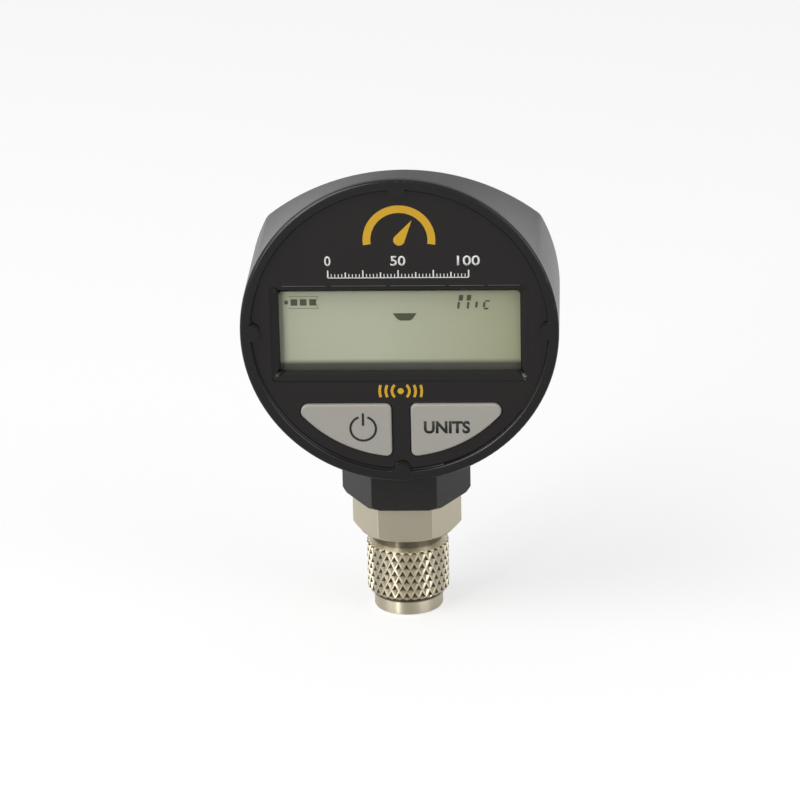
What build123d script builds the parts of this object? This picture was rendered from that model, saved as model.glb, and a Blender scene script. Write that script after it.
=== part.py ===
from build123d import *
import math
import os

# Digital vacuum gauge: a round case on a hexagonal sensor body with a knurled swivel nut.
# Origin at the centre of the nut's mouth, +Z up the stem, the face towards -Y.
# A depth is measured back from the front rim. A height on the face is measured from its centre.

# Case
case_radius = 31.0
case_depth = 29.4
case_wall = 2.0
axis_setback = 16.7
face_height = 64.0
roof_radius = 45.0
roof_drop = 7.0
shoulder_radius = 3.0
shoulder_thinning = 0.6
rear_edge_radius = 1.2
parting_gap = 0.15
ledge_depth = 1.6
seam_notch_width = 2.0
seam_notch_depth = 1.3
seam_notch_height = 1.2

# Front cover
rim_width = 2.2
rim_round = 0.7
rim_bevel = 0.4
rim_side = 1.2
label_depth = 1.2
label_thickness = 0.2
plate_thickness = 1.8
spigot_clearance = 0.15
spigot_wall = 1.6
spigot_length = 2.4
gasket_thickness = 0.8
boss_notch_radius = 1.65
boss_notch_inset = 2.1

# Display
window_side = 7.55
window_aspect = 0.35
window_bevel = 1.65
window_drop = -0.6
window_corner = 0.9
lens_thickness = 1.0
lens_margin = 0.8
panel_margin = 0.55
panel_thickness = 1.8
panel_gap = 0.1
panel_ledge_extra = 0.9
connector_height = 1.5
connector_width = 1.8
connector_end_gap = 1.0
connector_side_gap = 0.1
holder_wall = 0.9
holder_edge_gap = 0.45

# Keys
key_rim_gap = 5.0
key_screw_drop = 1.4
key_inner = 1.9
key_corner = 1.1
key_tip_corner = 1.5
key_stand = 0.7
key_round = 0.35
key_clearance = 0.25
key_flange_margin = 0.4
key_flange_thickness = 0.8
key_flange_gap = 0.15
key_travel = 0.8
key_centre_angle = 25.15
key_stem_share = 0.2364
pill_inset = 0.4
pill_thickness = 0.6
pill_contact_gap = 0.1
contact_margin = 0.8
contact_thickness = 0.1
mat_thickness = 0.8
mat_web_reach = 2.0
mat_web_gap = 0.6
mat_web_wall = 0.4
mat_web_height = 1.5
mat_edge_gap = 0.4
stem_web_gap = 0.3

# Boards
board_edge_gap = 0.35
board_thickness = 1.6
board_foot_cut = 2.0
board_boss_clearance = 0.3
board_post_x = 13.0
board_post_rise = 0.4
board_post_gap = 0.2
board_post_radius = 1.9
board_low_post_radius = 1.5
board_screw_radius = 0.8
board_screw_head = 1.4
board_screw_head_height = 1.0
board_screw_bite = 3.0
board_hole_play = 0.15

# Parts on the back of the board, with their places on the face
chip_x = -9.0
chip_z = 3.0
chip_size = 9.0
chip_span = 11.4
chip_height = 1.5
chip_lift = 0.15
chip_legs = 8
chip_leg_pitch = 1.0
chip_leg_width = 0.4
chip_leg_height = 0.35
radio_edge_gap = 2.9
radio_width = 12.0
radio_height = 11.0
radio_thickness = 0.8
shield_margin = 2.0
shield_height = 7.0
shield_thickness = 1.6
shield_round = 0.35
crystal_x = 2.0
crystal_z = 6.0
crystal_length = 8.0
crystal_width = 3.0
crystal_height = 2.2
capacitor_edge_gap = 7.3
capacitor_z = -3.0
capacitor_pitch = 2.4
capacitor_width = 1.2
capacitor_length = 2.0
capacitor_height = 0.9
capacitor_count = 5

# Sensor board and flex
socket_drop = 8.0
socket_width = 7.0
socket_height = 2.2
socket_thickness = 2.6
flex_width = 5.0
flex_thickness = 0.2
flex_bend = 0.8
flex_landing = 4.6
header_plug = 1.5
header_flange = 0.8
sensor_board_gap = 0.8
sensor_board_radius = 5.4
sensor_board_thickness = 1.0
pin_circle_radius = 2.4
pin_radius = 0.25
pin_reach = 3.5
bead_radius = 0.65
bead_wire_radius = 0.15

# Case screws
case_screw_inset = 2.23
case_screw_bay_gap = 2.8
case_screw_radius = 0.98
case_screw_head = 1.75
case_screw_head_height = 1.5
case_screw_sink = 1.6
case_screw_bite = 5.6
case_boss_radius = 1.9
case_boss_end = 11.0
pillar_gap = 0.2
shank_play = 0.15
screw_slack = 0.02
head_slack = 0.15

# Battery bay
cell_radius = 5.2
cell_length = 43.7
cell_nub = 0.8
cell_nub_radius = 1.9
cell_floor_gap = 0.2
bay_height_room = 0.4
bay_wall = 1.2
bay_end_room = 1.75
door_thickness = 1.8
door_lip = 0.5
door_lip_thickness = 1.0
door_clearance = 0.1
door_grip_width = 12.0
door_grip_height = 4.2
door_grip_drop = 3.0
door_grip_sink = 0.8
door_rib = 0.5
door_rib_pitch = 1.2
door_rib_sink = 0.2
contact_sheet = 0.4
contact_width = 8.5
contact_gap = 0.1
contact_tail = 3.0
leaf_half_height = 3.2
leaf_thickness = 0.3
leaf_root = 0.5
cell_edge_round = 0.4

# Stem
collar_flats = 22.4
collar_bottom = 24.5
collar_sink = 3.0
collar_chamfer = 0.8
collar_play = 0.2
collar_gasket_margin = 1.0
collar_gasket_thickness = 0.5
floor_rise = 2.0
floor_radius = 14.0
hex_flats = 19.05
hex_bottom = 17.0
hex_chamfer_angle = 30.0
washer_face_radius = 8.7
washer_face_height = 0.4
spigot_radius = 6.0
spigot_rise = 5.0
spigot_chamfer = 0.5
chamber_radius = 4.3
chamber_depth = 15.0
gas_bore_radius = 1.8
lock_washer_thickness = 0.6
lock_washer_teeth = 12
lock_washer_bite = 0.5
lock_nut_width = 14.0
lock_nut_height = 3.0
lock_nut_chamfer = 0.5
oring_section = 0.75
oring_play = 0.25

# Swivel nut
nut_collar_radius = 6.95
nut_collar_bottom_height = 2.65
knurl_radius = 8.27
knurl_groove = 0.55
knurl_bottom = 4.1
knurl_top = 14.0
knurl_bevel = 0.55
knurl_teeth = 32
knurl_angle = 27.7
nut_top = 16.2
nut_end_chamfer = 0.45
thread_radius = 4.9
thread_start = 0.4
thread_end = 8.0
relief_radius = 5.7
relief_end = 10.4
relief_chamfer = 0.6
tail_radius = 4.1
tail_clearance = 0.08
tail_bottom = 9.0
flare_seat_radius = 3.7
flare_gasket_thickness = 0.5
ring_height = 13.4
ring_section = 0.45
ring_groove_play = 0.35
depressor_tip = 8.2
depressor_top = 12.5
depressor_radius = 0.6
spider_leg = 0.7
spider_height = 1.5

slack = 0.05
overrun = 1.0


def along(depth):
    """Distance of a depth behind the front rim along Y."""
    return depth - axis_setback


def face_plane(depth):
    """Plane parallel to the face, seen from the front, at a depth behind the rim."""
    return Plane(origin=(0, along(depth), face_height), x_dir=(1, 0, 0), z_dir=(0, -1, 0))


def slab(sketch, front, back):
    """Solid of a face outline between two depths."""
    return extrude(face_plane(back) * sketch, amount=back - front)


def turned(points):
    """Solid of revolution about the stem from (radius, height) points."""
    return revolve(Plane.XZ * make_face(Polyline(points, close=True)), axis=Axis.Z)


def stem_prism(sketch, bottom, top):
    """Solid of a horizontal outline centred on the stem between two heights."""
    return extrude(Plane.XY.offset(bottom) * sketch, amount=top - bottom)


def hexagon(flats):
    """Hexagon across flats with two flats facing front and back."""
    return RegularPolygon(radius=flats / 2, side_count=6, major_radius=False)


def corners(x, z):
    """The four points of a rectangle centred on the face."""
    return [(x, z), (-x, z), (-x, -z), (x, -z)]


def blank():
    """Square as wide as the case each way from its middle, to trim an outline with."""
    return Rectangle(3 * case_radius, 2 * case_radius)


# Depths that follow from the sizes
label_seat = label_depth + label_thickness
plate_back = label_seat + plate_thickness
shell_front = rim_side + parting_gap
spigot_back = shell_front + spigot_length
ledge_front = spigot_back + gasket_thickness
ledge_back = ledge_front + ledge_depth
lens_back = plate_back + lens_thickness
panel_front = lens_back + panel_gap
panel_back = panel_front + panel_thickness
board_front = panel_back + connector_height
board_back = board_front + board_thickness
radio_back = board_back + radio_thickness
door_front = case_depth - door_thickness
cell_depth = door_front - cell_floor_gap - cell_radius
bay_floor = cell_depth - cell_radius - cell_floor_gap
bay_half_width = (cell_length + cell_nub) / 2 + bay_end_room
bay_half_height = 2 * cell_radius + bay_height_room
cell_centre = bay_half_height / 2
contact_centre = bay_half_width - contact_gap - contact_sheet / 2

# Radii and places on the face that follow from the case
roof_height = case_radius - roof_drop
rim_inner = case_radius - rim_width
spigot_outer = case_radius - case_wall - spigot_clearance
spigot_inner = spigot_outer - spigot_wall
window_width = 2 * (case_radius - window_side)
window_height = window_aspect * window_width
window_outer_width = window_width + 2 * window_bevel
window_outer_height = window_height + 2 * window_bevel
lcd_width = window_width + 2 * panel_margin
lcd_height = window_height + 2 * panel_margin + panel_ledge_extra
holder_width = lcd_width + 2 * (panel_gap + holder_wall)
holder_height = lcd_height + 2 * (panel_gap + holder_wall)
case_screw_z = bay_half_height + case_screw_bay_gap
case_screw_x = math.sqrt((spigot_inner - case_screw_inset) ** 2 - case_screw_z**2)
key_arc_radius = case_radius - key_rim_gap
key_top = case_screw_z + key_screw_drop
key_stem_radius = key_stem_share * (key_arc_radius - key_top)
pill_radius = key_stem_radius - pill_inset
contact_radius = key_stem_radius + contact_margin
mat_web_radius = key_stem_radius + mat_web_reach
key_centre_reach = spigot_inner - mat_web_radius - mat_web_wall - mat_web_gap
key_centre_x = key_centre_reach * math.sin(math.radians(key_centre_angle))
key_centre_drop = key_centre_reach * math.cos(math.radians(key_centre_angle))
mat_top = key_centre_drop - mat_web_radius - mat_web_wall
board_radius = spigot_inner - board_edge_gap
board_bottom = board_radius - board_foot_cut
board_post_height = case_screw_z + board_post_rise
board_post_low = holder_height / 2 - window_drop + board_post_gap + board_low_post_radius
radio_bottom = board_radius - radio_edge_gap - radio_height
capacitor_x = board_radius - capacitor_edge_gap - capacitor_pitch * (capacitor_count - 1)

# Heights on the stem that follow from the case
collar_seat = face_height - case_radius + collar_sink
floor_height = collar_seat + floor_rise
spigot_top = floor_height + spigot_rise
chamber_bottom = spigot_top - chamber_depth


def case_section(depth, radius, roof_r, roof_z, corner, flattened):
    """Cross-section of the case, round or with the flatter roof arc."""
    roof_centre = roof_z - roof_r
    reach = (radius - corner) ** 2 - (roof_r - corner) ** 2
    corner_z = (reach + roof_centre**2) / (2 * roof_centre)
    corner_x = math.sqrt((radius - corner) ** 2 - corner_z**2)
    low = Vector(corner_x, corner_z) * (radius / (radius - corner))
    away = (Vector(corner_x, corner_z) - Vector(0, roof_centre)).normalized()
    high = Vector(corner_x, corner_z) + away * corner
    crown = Vector(0, roof_z)
    knee = Vector(corner_x, corner_z) + (low.normalized() + away).normalized() * corner
    if not flattened:
        high = high.normalized() * radius
        knee = knee.normalized() * radius
        crown = Vector(0, radius)
    keel = Vector(0, -radius)
    mirrored = [Vector(-v.X, v.Y) for v in (low, knee, high)]
    outline = Wire(
        [
            ThreePointArc(low, knee, high),
            ThreePointArc(high, crown, mirrored[2]),
            ThreePointArc(mirrored[2], mirrored[1], mirrored[0]),
            ThreePointArc(mirrored[0], keel, low),
        ]
    )
    return face_plane(depth) * Face(outline)


def case_body(inset):
    """Case form from the round front to the flattened back, inset by a wall."""
    corner = shoulder_radius - inset * shoulder_thinning
    sizes = (case_radius - inset, roof_radius - inset, roof_height - inset, corner)
    front = case_section(shell_front, *sizes, False)
    back = case_section(case_depth, *sizes, True)
    return loft([front, back], ruled=True)


def key_outline(side, margin=0.0):
    """Outline of one key: straight top and inner edge, lower edge concentric with the case."""
    arc_r = key_arc_radius + margin
    top = margin - key_top
    inner = key_inner - margin
    box = Pos(inner + arc_r / 2, top - arc_r / 2) * Rectangle(arc_r, arc_r)
    outline = box & Circle(arc_r)
    outline = fillet(outline.vertices().sort_by(Axis.X)[-1], radius=key_tip_corner + margin)
    outline = fillet(outline.vertices().group_by(Axis.X)[0], radius=key_corner + margin)
    return outline if side > 0 else mirror(outline, about=Plane.YZ)


def both_keys(margin):
    """Outlines of the two keys together."""
    return key_outline(1, margin) + key_outline(-1, margin)


def window_outline(bevelled, margin=0.0):
    """Display opening, at the face or at the foot of its bevel."""
    width = window_outer_width if bevelled else window_width
    height = window_outer_height if bevelled else window_height
    outline = RectangleRounded(width + 2 * margin, height + 2 * margin, window_corner)
    return Pos(0, window_drop) * outline


def rim_bosses(margin=0.0):
    """The four half-round bosses that reach in from the rim."""
    spots = PolarLocations(case_radius - boss_notch_inset, 4)
    return spots * Circle(boss_notch_radius + margin)


def as_one(shapes):
    """Fuse a list of shapes."""
    whole = shapes[0]
    for shape in shapes[1:]:
        whole = whole + shape
    return whole


def front_cover():
    """Round cover with rim, bosses, bevelled display opening, key openings and screw bosses."""
    flange = slab(Circle(case_radius), 0, rim_side)
    flange = fillet(flange.edges().group_by(Axis.Y)[0], radius=rim_round)
    cover = flange + slab(Circle(spigot_outer), rim_side, spigot_back)
    recess = slab(Circle(rim_inner), -overrun, label_seat)
    recess = recess - as_one([slab(spot, 0, label_seat) for spot in rim_bosses()])
    cover = cover - recess
    cover = cover - slab(Circle(spigot_inner), plate_back, spigot_back + overrun)
    throat = loft(
        [
            face_plane(label_seat) * window_outline(True),
            face_plane(label_seat + window_bevel) * window_outline(False),
        ]
    )
    cover = cover - throat - slab(window_outline(False), label_seat, plate_back + overrun)
    cover = cover - slab(both_keys(key_clearance), 0, plate_back + overrun)
    for x, z in corners(case_screw_x, case_screw_z):
        cover = cover + slab(Pos(x, z) * Circle(case_boss_radius), plate_back - slack, case_boss_end)
        cover = cover - slab(Pos(x, z) * Circle(case_screw_radius + screw_slack), plate_back, case_boss_end)
    for x, z, radius in board_posts():
        cover = cover + slab(Pos(x, z) * Circle(radius), plate_back - slack, board_front)
        cover = cover - slab(Pos(x, z) * Circle(board_screw_radius + screw_slack), plate_back, board_front)
    inner_rim = [
        edge
        for edge in cover.edges().filter_by(GeomType.CIRCLE)
        if abs(edge.radius - rim_inner) < 0.01 and abs(edge.center().Y - along(0)) < 0.01
    ]
    cover = chamfer(inner_rim, length=rim_bevel)
    return cover


def board_posts():
    """Places and radii of the posts that carry the main board."""
    return [
        (board_post_x, board_post_height, board_post_radius),
        (-board_post_x, board_post_height, board_post_radius),
        (0, -board_post_low, board_low_post_radius),
    ]


def face_label():
    """Glossy overlay sunk in the rim, notched round the bosses."""
    sheet = Circle(rim_inner - slack) - as_one(list(rim_bosses(slack)))
    sheet = sheet - window_outline(True) - both_keys(key_clearance)
    return slab(sheet, label_depth, label_seat)


def display_window():
    """Clear pane behind the display opening."""
    pane = Pos(0, window_drop) * RectangleRounded(
        window_width + 2 * lens_margin, window_height + 2 * lens_margin, window_corner
    )
    return slab(pane, plate_back, lens_back)


def lcd_panel():
    """Display glass: the front plate, and a shorter back plate that leaves the contact ledge."""
    half = panel_thickness / 2
    front = Pos(0, window_drop) * Rectangle(lcd_width, lcd_height)
    front = slab(front, panel_front, panel_front + half)
    lift = window_drop + connector_width / 2
    back = Pos(0, lift) * Rectangle(lcd_width, lcd_height - connector_width)
    return front + slab(back, panel_front + half, panel_back)


def lcd_holder():
    """Frame that stands on the board and holds the display glass."""
    frame = Rectangle(holder_width, holder_height)
    frame = frame - Rectangle(lcd_width + 2 * panel_gap, lcd_height + 2 * panel_gap)
    frame = (Pos(0, window_drop) * frame) & Circle(spigot_inner - holder_edge_gap)
    return slab(frame, panel_front, board_front)


def lcd_connector():
    """Elastomer strip from the contact ledge of the glass to the board."""
    low = window_drop - lcd_height / 2 + connector_width / 2
    strip_width = lcd_width - 2 * connector_end_gap
    strip = Pos(0, low) * Rectangle(strip_width, connector_width - 2 * connector_side_gap)
    return slab(strip, panel_front + panel_thickness / 2, board_front)


def key(side):
    """Rubber key with a retaining flange and a stem."""
    cap = slab(key_outline(side), label_depth - key_stand, plate_back + key_flange_gap)
    cap = fillet(cap.edges().group_by(Axis.Y)[0], radius=key_round)
    flange_back = plate_back + key_flange_gap + key_flange_thickness
    flange = slab(key_outline(side, key_flange_margin), plate_back + key_flange_gap, flange_back)
    spot = Pos(side * key_centre_x, -key_centre_drop)
    stem = slab(spot * Circle(key_stem_radius), flange_back - slack, pill_front())
    return cap + flange + stem


def pill_front():
    """Depth where the carbon pill begins."""
    return board_front - contact_thickness - pill_contact_gap - key_travel - pill_thickness


def key_pill(side):
    """Carbon pill on the end of the key's stem."""
    spot = Pos(side * key_centre_x, -key_centre_drop)
    return slab(spot * Circle(pill_radius), pill_front(), pill_front() + pill_thickness)


def keypad_mat():
    """Silicone base sheet on the board with a raised web ring round each key's stem."""
    sheet = Circle(spigot_inner - mat_edge_gap)
    sheet = sheet - Pos(0, case_radius - mat_top) * blank()
    sheet = sheet - Pos(0, -board_bottom - case_radius) * blank()
    notch = case_boss_radius + board_boss_clearance
    for x, z in corners(case_screw_x, case_screw_z):
        outward = Pos(x + math.copysign(notch, x), z) * Rectangle(2 * notch, 2 * notch)
        sheet = sheet - Pos(x, z) * Circle(notch) - outward
    for x, z, radius in board_posts():
        sheet = sheet - Pos(x, z) * Circle(radius + board_hole_play)
    mat = slab(sheet, board_front - mat_thickness, board_front)
    web_foot = board_front - mat_thickness
    web_neck = key_stem_radius + stem_web_gap
    for side in (1, -1):
        spot = Pos(side * key_centre_x, -key_centre_drop)
        mat = mat - slab(spot * Circle(mat_web_radius), 0, board_front + overrun)
        cone = [
            (mat_web_radius, 0),
            (mat_web_radius + mat_web_wall, 0),
            (web_neck + mat_web_wall, mat_web_height),
            (web_neck, mat_web_height),
        ]
        web = revolve(make_face(Plane.XZ * Polyline(cone, close=True)), axis=Axis.Z)
        web = face_plane(web_foot) * Pos(side * key_centre_x, -key_centre_drop) * web
        mat = mat + web
    return mat


def key_contacts():
    """Printed contact pads under the two pills."""
    front = board_front - contact_thickness
    return [
        slab(Pos(side * key_centre_x, -key_centre_drop) * Circle(contact_radius), front, board_front)
        for side in (1, -1)
    ]


def main_board():
    """Round board, flat at the bottom and notched round the case bosses."""
    outline = Circle(board_radius) - Pos(0, -board_bottom - case_radius) * blank()
    for x, z in corners(case_screw_x, case_screw_z):
        notch = case_boss_radius + board_boss_clearance
        outline = outline - Pos(x, z) * Circle(notch)
        outline = outline - Pos(x * 1.2, z * 1.2) * Circle(notch)
    for x, z, _ in board_posts():
        outline = outline - Pos(x, z) * Circle(board_screw_radius + board_hole_play)
    return slab(outline, board_front, board_back)


def screw(place, tip, head_front, shank_radius, head_radius, head_height):
    """Pan-head screw driven from behind, with a cross recess."""
    spot = Pos(*place)
    body = slab(spot * Circle(shank_radius), tip, head_front + slack)
    head = slab(spot * Circle(head_radius), head_front, head_front + head_height)
    head = fillet(head.edges().group_by(Axis.Y)[-1], radius=head_height * 0.4)
    wing = head_radius * 1.1
    cross = Rectangle(wing, wing / 5) + Rectangle(wing / 5, wing)
    recess = slab(spot * cross, head_front + head_height * 0.45, head_front + head_height + overrun)
    return body + (head - recess)


def board_screws():
    """Screws that hold the main board to its posts."""
    return [
        screw(
            (x, z),
            board_back - board_thickness - board_screw_bite,
            board_back,
            board_screw_radius,
            board_screw_head,
            board_screw_head_height,
        )
        for x, z, _ in board_posts()
    ]


def case_screw_seat():
    """Depth of the shoulder under a case screw's head."""
    return case_depth - case_screw_sink - case_screw_head_height


def case_screws():
    """Four long screws from the back of the case into the front cover's bosses."""
    return [
        screw(
            (x, z),
            case_boss_end - case_screw_bite,
            case_screw_seat(),
            case_screw_radius,
            case_screw_head,
            case_screw_head_height,
        )
        for x, z in corners(case_screw_x, case_screw_z)
    ]


def rear_shell():
    """Deep shell with a gasket ledge, a battery bay, screw pillars and the seat for the collar."""
    outer = case_body(0)
    rear_edges = outer.edges().group_by(Axis.Y)[-1]
    outer = fillet(rear_edges, radius=rear_edge_radius)
    hollow = case_body(case_wall) & slab(blank(), shell_front - overrun, case_depth - case_wall)
    shell = outer - hollow
    shell = shell - slab(Circle(case_radius - case_wall), shell_front - overrun, ledge_front)
    ledge = Circle(case_radius - case_wall / 2) - Circle(spigot_inner)
    inside = [slab(ledge, ledge_front, ledge_back)]
    bay = Rectangle(2 * (bay_half_width + bay_wall), 2 * (bay_half_height + bay_wall))
    inside.append(slab(bay, bay_floor - bay_wall, case_depth - case_wall / 2))
    for x, z in corners(case_screw_x, case_screw_z):
        pillar = Pos(x, z) * Circle(case_boss_radius)
        inside.append(slab(pillar, case_boss_end + pillar_gap, case_depth - case_wall / 2))
    floor_block = stem_prism(Circle(floor_radius), face_height - case_radius, floor_height)
    inside.append(floor_block & slab(blank(), ledge_front, case_depth - case_wall / 2))
    shell = shell + (as_one(inside) & outer)
    bay_room = Rectangle(2 * bay_half_width, 2 * bay_half_height)
    shell = shell - slab(bay_room, bay_floor, case_depth + overrun)
    lip = Rectangle(2 * (bay_half_width + door_lip), 2 * (bay_half_height + door_lip))
    shell = shell - slab(lip, case_depth - door_lip_thickness, case_depth + overrun)
    for x, z in corners(case_screw_x, case_screw_z):
        shell = shell - slab(Pos(x, z) * Circle(case_screw_radius + shank_play), case_boss_end, case_depth)
        head_room = Pos(x, z) * Circle(case_screw_head + head_slack)
        shell = shell - slab(head_room, case_screw_seat(), case_depth + overrun)
    shell = shell - stem_prism(hexagon(collar_flats + collar_play), 0, collar_seat)
    shell = shell - stem_prism(Circle(spigot_radius + slack), 0, floor_height + overrun)
    for height in (cell_centre, -cell_centre):
        slot = Rectangle(contact_sheet + 2 * contact_gap, contact_tail + 2 * contact_gap)
        spot = Pos(contact_centre, height)
        shell = shell - slab(spot * slot, bay_floor - bay_wall - overrun, bay_floor + overrun)
    notch_depth = case_depth - rear_edge_radius - seam_notch_depth
    notch = Rectangle(seam_notch_width, 2 * seam_notch_height)
    notch = slab(notch, notch_depth, notch_depth + seam_notch_depth)
    return shell - Pos(0, 0, roof_height) * notch


def case_gasket():
    """Flat ring squeezed between the spigot and the ledge."""
    return slab(Circle(spigot_outer) - Circle(spigot_inner), spigot_back, ledge_front)


def battery_door():
    """Door with a plug, a lip, a grip recess and its ribs."""
    gap = door_clearance
    plug = Rectangle(2 * (bay_half_width - gap), 2 * (bay_half_height - gap))
    lip = Rectangle(2 * (bay_half_width + door_lip - gap), 2 * (bay_half_height + door_lip - gap))
    door = slab(plug, door_front, case_depth - door_lip_thickness)
    door = door + slab(lip, case_depth - door_lip_thickness, case_depth)
    grip_height = bay_half_height - door_grip_drop
    pocket = SlotOverall(door_grip_width, door_grip_height)
    grip = Pos(0, grip_height) * pocket
    door = door - slab(grip, case_depth - door_grip_sink, case_depth + overrun)
    for step in (-1, 0, 1):
        rib = Rectangle(door_grip_width - door_grip_height - door_rib, door_rib)
        spot = Pos(0, grip_height + step * door_rib_pitch)
        door = door + slab(spot * rib, case_depth - door_grip_sink - slack, case_depth - door_rib_sink)
    return door


def cell(level, direction):
    """AAA cell lying across the case, its positive nub towards +X or -X."""
    can = Cylinder(cell_radius, cell_length)
    can = fillet(can.edges(), radius=cell_edge_round)
    nub = Pos(0, 0, (cell_length + cell_nub) / 2) * Cylinder(cell_nub_radius, cell_nub)
    body = Pos(0, 0, -cell_nub / 2) * (can + nub)
    return Pos(0, along(cell_depth), face_height + level) * Rot(0, direction * 90, 0) * body


def leaf_contact(side, level, width):
    """Sheet contact against the bay's end wall, with a leaf bowed towards the cell."""
    plate = Pos(side * contact_centre, level) * Rectangle(contact_sheet, width)
    return slab(plate, bay_floor, door_front - contact_gap)


def leaf(side, level):
    """Bowed leaf between the end wall and the cell."""
    root_x = contact_centre - contact_sheet / 2
    tip_x = (cell_length + cell_nub) / 2 + slack
    half = leaf_half_height
    foot = half - leaf_root
    outer = ThreePointArc((root_x, -half), (tip_x, 0), (root_x, half))
    inner = ThreePointArc((root_x, foot), (tip_x + leaf_thickness, 0), (root_x, -foot))
    closing = [Line(outer @ 1, inner @ 0), Line(inner @ 1, outer @ 0)]
    profile = make_face([outer, inner] + closing)
    strip = extrude(profile, amount=contact_tail / 2, both=True)
    strip = Pos(0, along(cell_depth), face_height + level) * strip
    return strip if side > 0 else mirror(strip, about=Plane.YZ)


def contact_bridge():
    """Contact that joins the two cells at the -X end."""
    plate = leaf_contact(-1, 0, 2 * cell_centre + contact_width)
    return plate + leaf(-1, cell_centre) + leaf(-1, -cell_centre)


def end_contact(level):
    """Single contact at the +X end, with a tail through the bay's floor to the board."""
    tail = Pos(contact_centre, level) * Rectangle(contact_sheet, contact_tail)
    tail = slab(tail, board_back, bay_floor + overrun)
    return leaf_contact(1, level, contact_width) + tail + leaf(1, level)


def controller_chip():
    """Flat package with legs along its four sides."""
    spot = Pos(chip_x, chip_z)
    body = slab(spot * Rectangle(chip_size, chip_size), board_back + chip_lift, board_back + chip_height)
    body = chamfer(body.edges().group_by(Axis.Y)[-1], length=chip_leg_width)
    legs = []
    for k in range(chip_legs):
        step = (k - (chip_legs - 1) / 2) * chip_leg_pitch
        across = Pos(0, step) * Rectangle(chip_span, chip_leg_width)
        upright = Pos(step, 0) * Rectangle(chip_leg_width, chip_span)
        legs.append(slab(spot * (across + upright), board_back, board_back + chip_leg_height))
    return as_one([body] + legs)


def radio_board():
    """Small radio board with its antenna end clear of the shield."""
    spot = Pos(0, radio_bottom + radio_height / 2)
    return slab(spot * Rectangle(radio_width, radio_height), board_back, radio_back)


def radio_shield():
    """Pressed can over the radio."""
    spot = Pos(0, radio_bottom + shield_margin / 2 + shield_height / 2)
    can = spot * Rectangle(radio_width - shield_margin, shield_height)
    can = slab(can, radio_back, radio_back + shield_thickness)
    return fillet(can.edges().group_by(Axis.Y)[-1], radius=shield_round)


def crystal():
    """Metal can crystal."""
    can = Pos(crystal_x, crystal_z) * SlotOverall(crystal_length, crystal_width)
    return slab(can, board_back, board_back + crystal_height)


def capacitors():
    """Ceramic capacitors beside the chip."""
    chip = Rectangle(capacitor_width, capacitor_length)
    places = [Pos(capacitor_x + capacitor_pitch * k, capacitor_z) for k in range(capacitor_count)]
    return [slab(place * chip, board_back, board_back + capacitor_height) for place in places]


def sensor_socket():
    """Socket on the board for the sensor's flat flex."""
    spot = Pos(0, -socket_drop) * Rectangle(socket_width, socket_height)
    return slab(spot, board_back, board_back + socket_thickness)


def hex_collar():
    """Black hexagonal collar between the sensor body and the case."""
    top = collar_seat - collar_gasket_thickness
    collar = stem_prism(hexagon(collar_flats), collar_bottom, top)
    across = collar_flats / math.sqrt(3)
    trim = turned(
        [
            (0, collar_bottom),
            (across - collar_chamfer, collar_bottom),
            (across, collar_bottom + collar_chamfer),
            (across, top),
            (0, top),
        ]
    )
    bore = stem_prism(Circle(spigot_radius + slack), 0, top + overrun)
    seat_radius = spigot_radius + 2 * (oring_section + oring_play)
    seal = stem_prism(Circle(seat_radius), 0, collar_bottom + 2 * oring_section)
    return (collar & trim) - bore - seal


def collar_gasket():
    """Flat gasket between the collar and the case."""
    ring = Circle(collar_flats / 2 - collar_gasket_margin) - Circle(spigot_radius + slack)
    return stem_prism(ring, collar_seat - collar_gasket_thickness, collar_seat)


def sensor_oring():
    """O-ring in the foot of the collar."""
    centre = spigot_radius + oring_section + oring_play
    return Pos(0, 0, collar_bottom + oring_section) * Torus(centre, oring_section)


def sensor_body():
    """Hexagonal body with the tail for the nut below and the sensor chamber above."""
    body = stem_prism(hexagon(hex_flats), hex_bottom, collar_bottom)
    across = hex_flats / math.sqrt(3)
    slope = math.tan(math.radians(hex_chamfer_angle))
    flat = hex_flats / 2 - slack
    trim = turned(
        [
            (0, hex_bottom),
            (flat, hex_bottom),
            (across, hex_bottom + (across - flat) * slope),
            (across, collar_bottom),
            (0, collar_bottom),
        ]
    )
    body = body & trim
    ring_low = ring_height - ring_section - slack
    ring_high = ring_height + ring_section + slack
    washer_bottom = hex_bottom - washer_face_height
    core = turned(
        [
            (gas_bore_radius, depressor_seat()),
            (flare_seat_radius, tail_bottom),
            (tail_radius, tail_bottom),
            (tail_radius, ring_low),
            (tail_radius - ring_section, ring_low),
            (tail_radius - ring_section, ring_high),
            (tail_radius, ring_high),
            (tail_radius, washer_bottom),
            (washer_face_radius, washer_bottom),
            (washer_face_radius, collar_bottom - overrun),
            (spigot_radius, collar_bottom - overrun),
            (spigot_radius, spigot_top - spigot_chamfer),
            (spigot_radius - spigot_chamfer, spigot_top),
            (chamber_radius, spigot_top),
            (chamber_radius, chamber_bottom),
            (gas_bore_radius, chamber_bottom - (chamber_radius - gas_bore_radius) * slope),
        ]
    )
    body = body - stem_prism(Circle(gas_bore_radius), 0, collar_bottom + overrun)
    return body + core


def depressor_seat():
    """Height where the flare seat's cone meets the bore."""
    return tail_bottom + flare_seat_radius - gas_bore_radius


def flare_gasket():
    """Conical copper gasket on the flare seat."""
    inner = gas_bore_radius + slack
    drop = flare_gasket_thickness
    foot = tail_bottom
    top = tail_bottom + flare_seat_radius - inner
    return turned(
        [
            (flare_seat_radius, foot - drop),
            (flare_seat_radius, foot),
            (inner, top),
            (inner, top - drop),
        ]
    )


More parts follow.
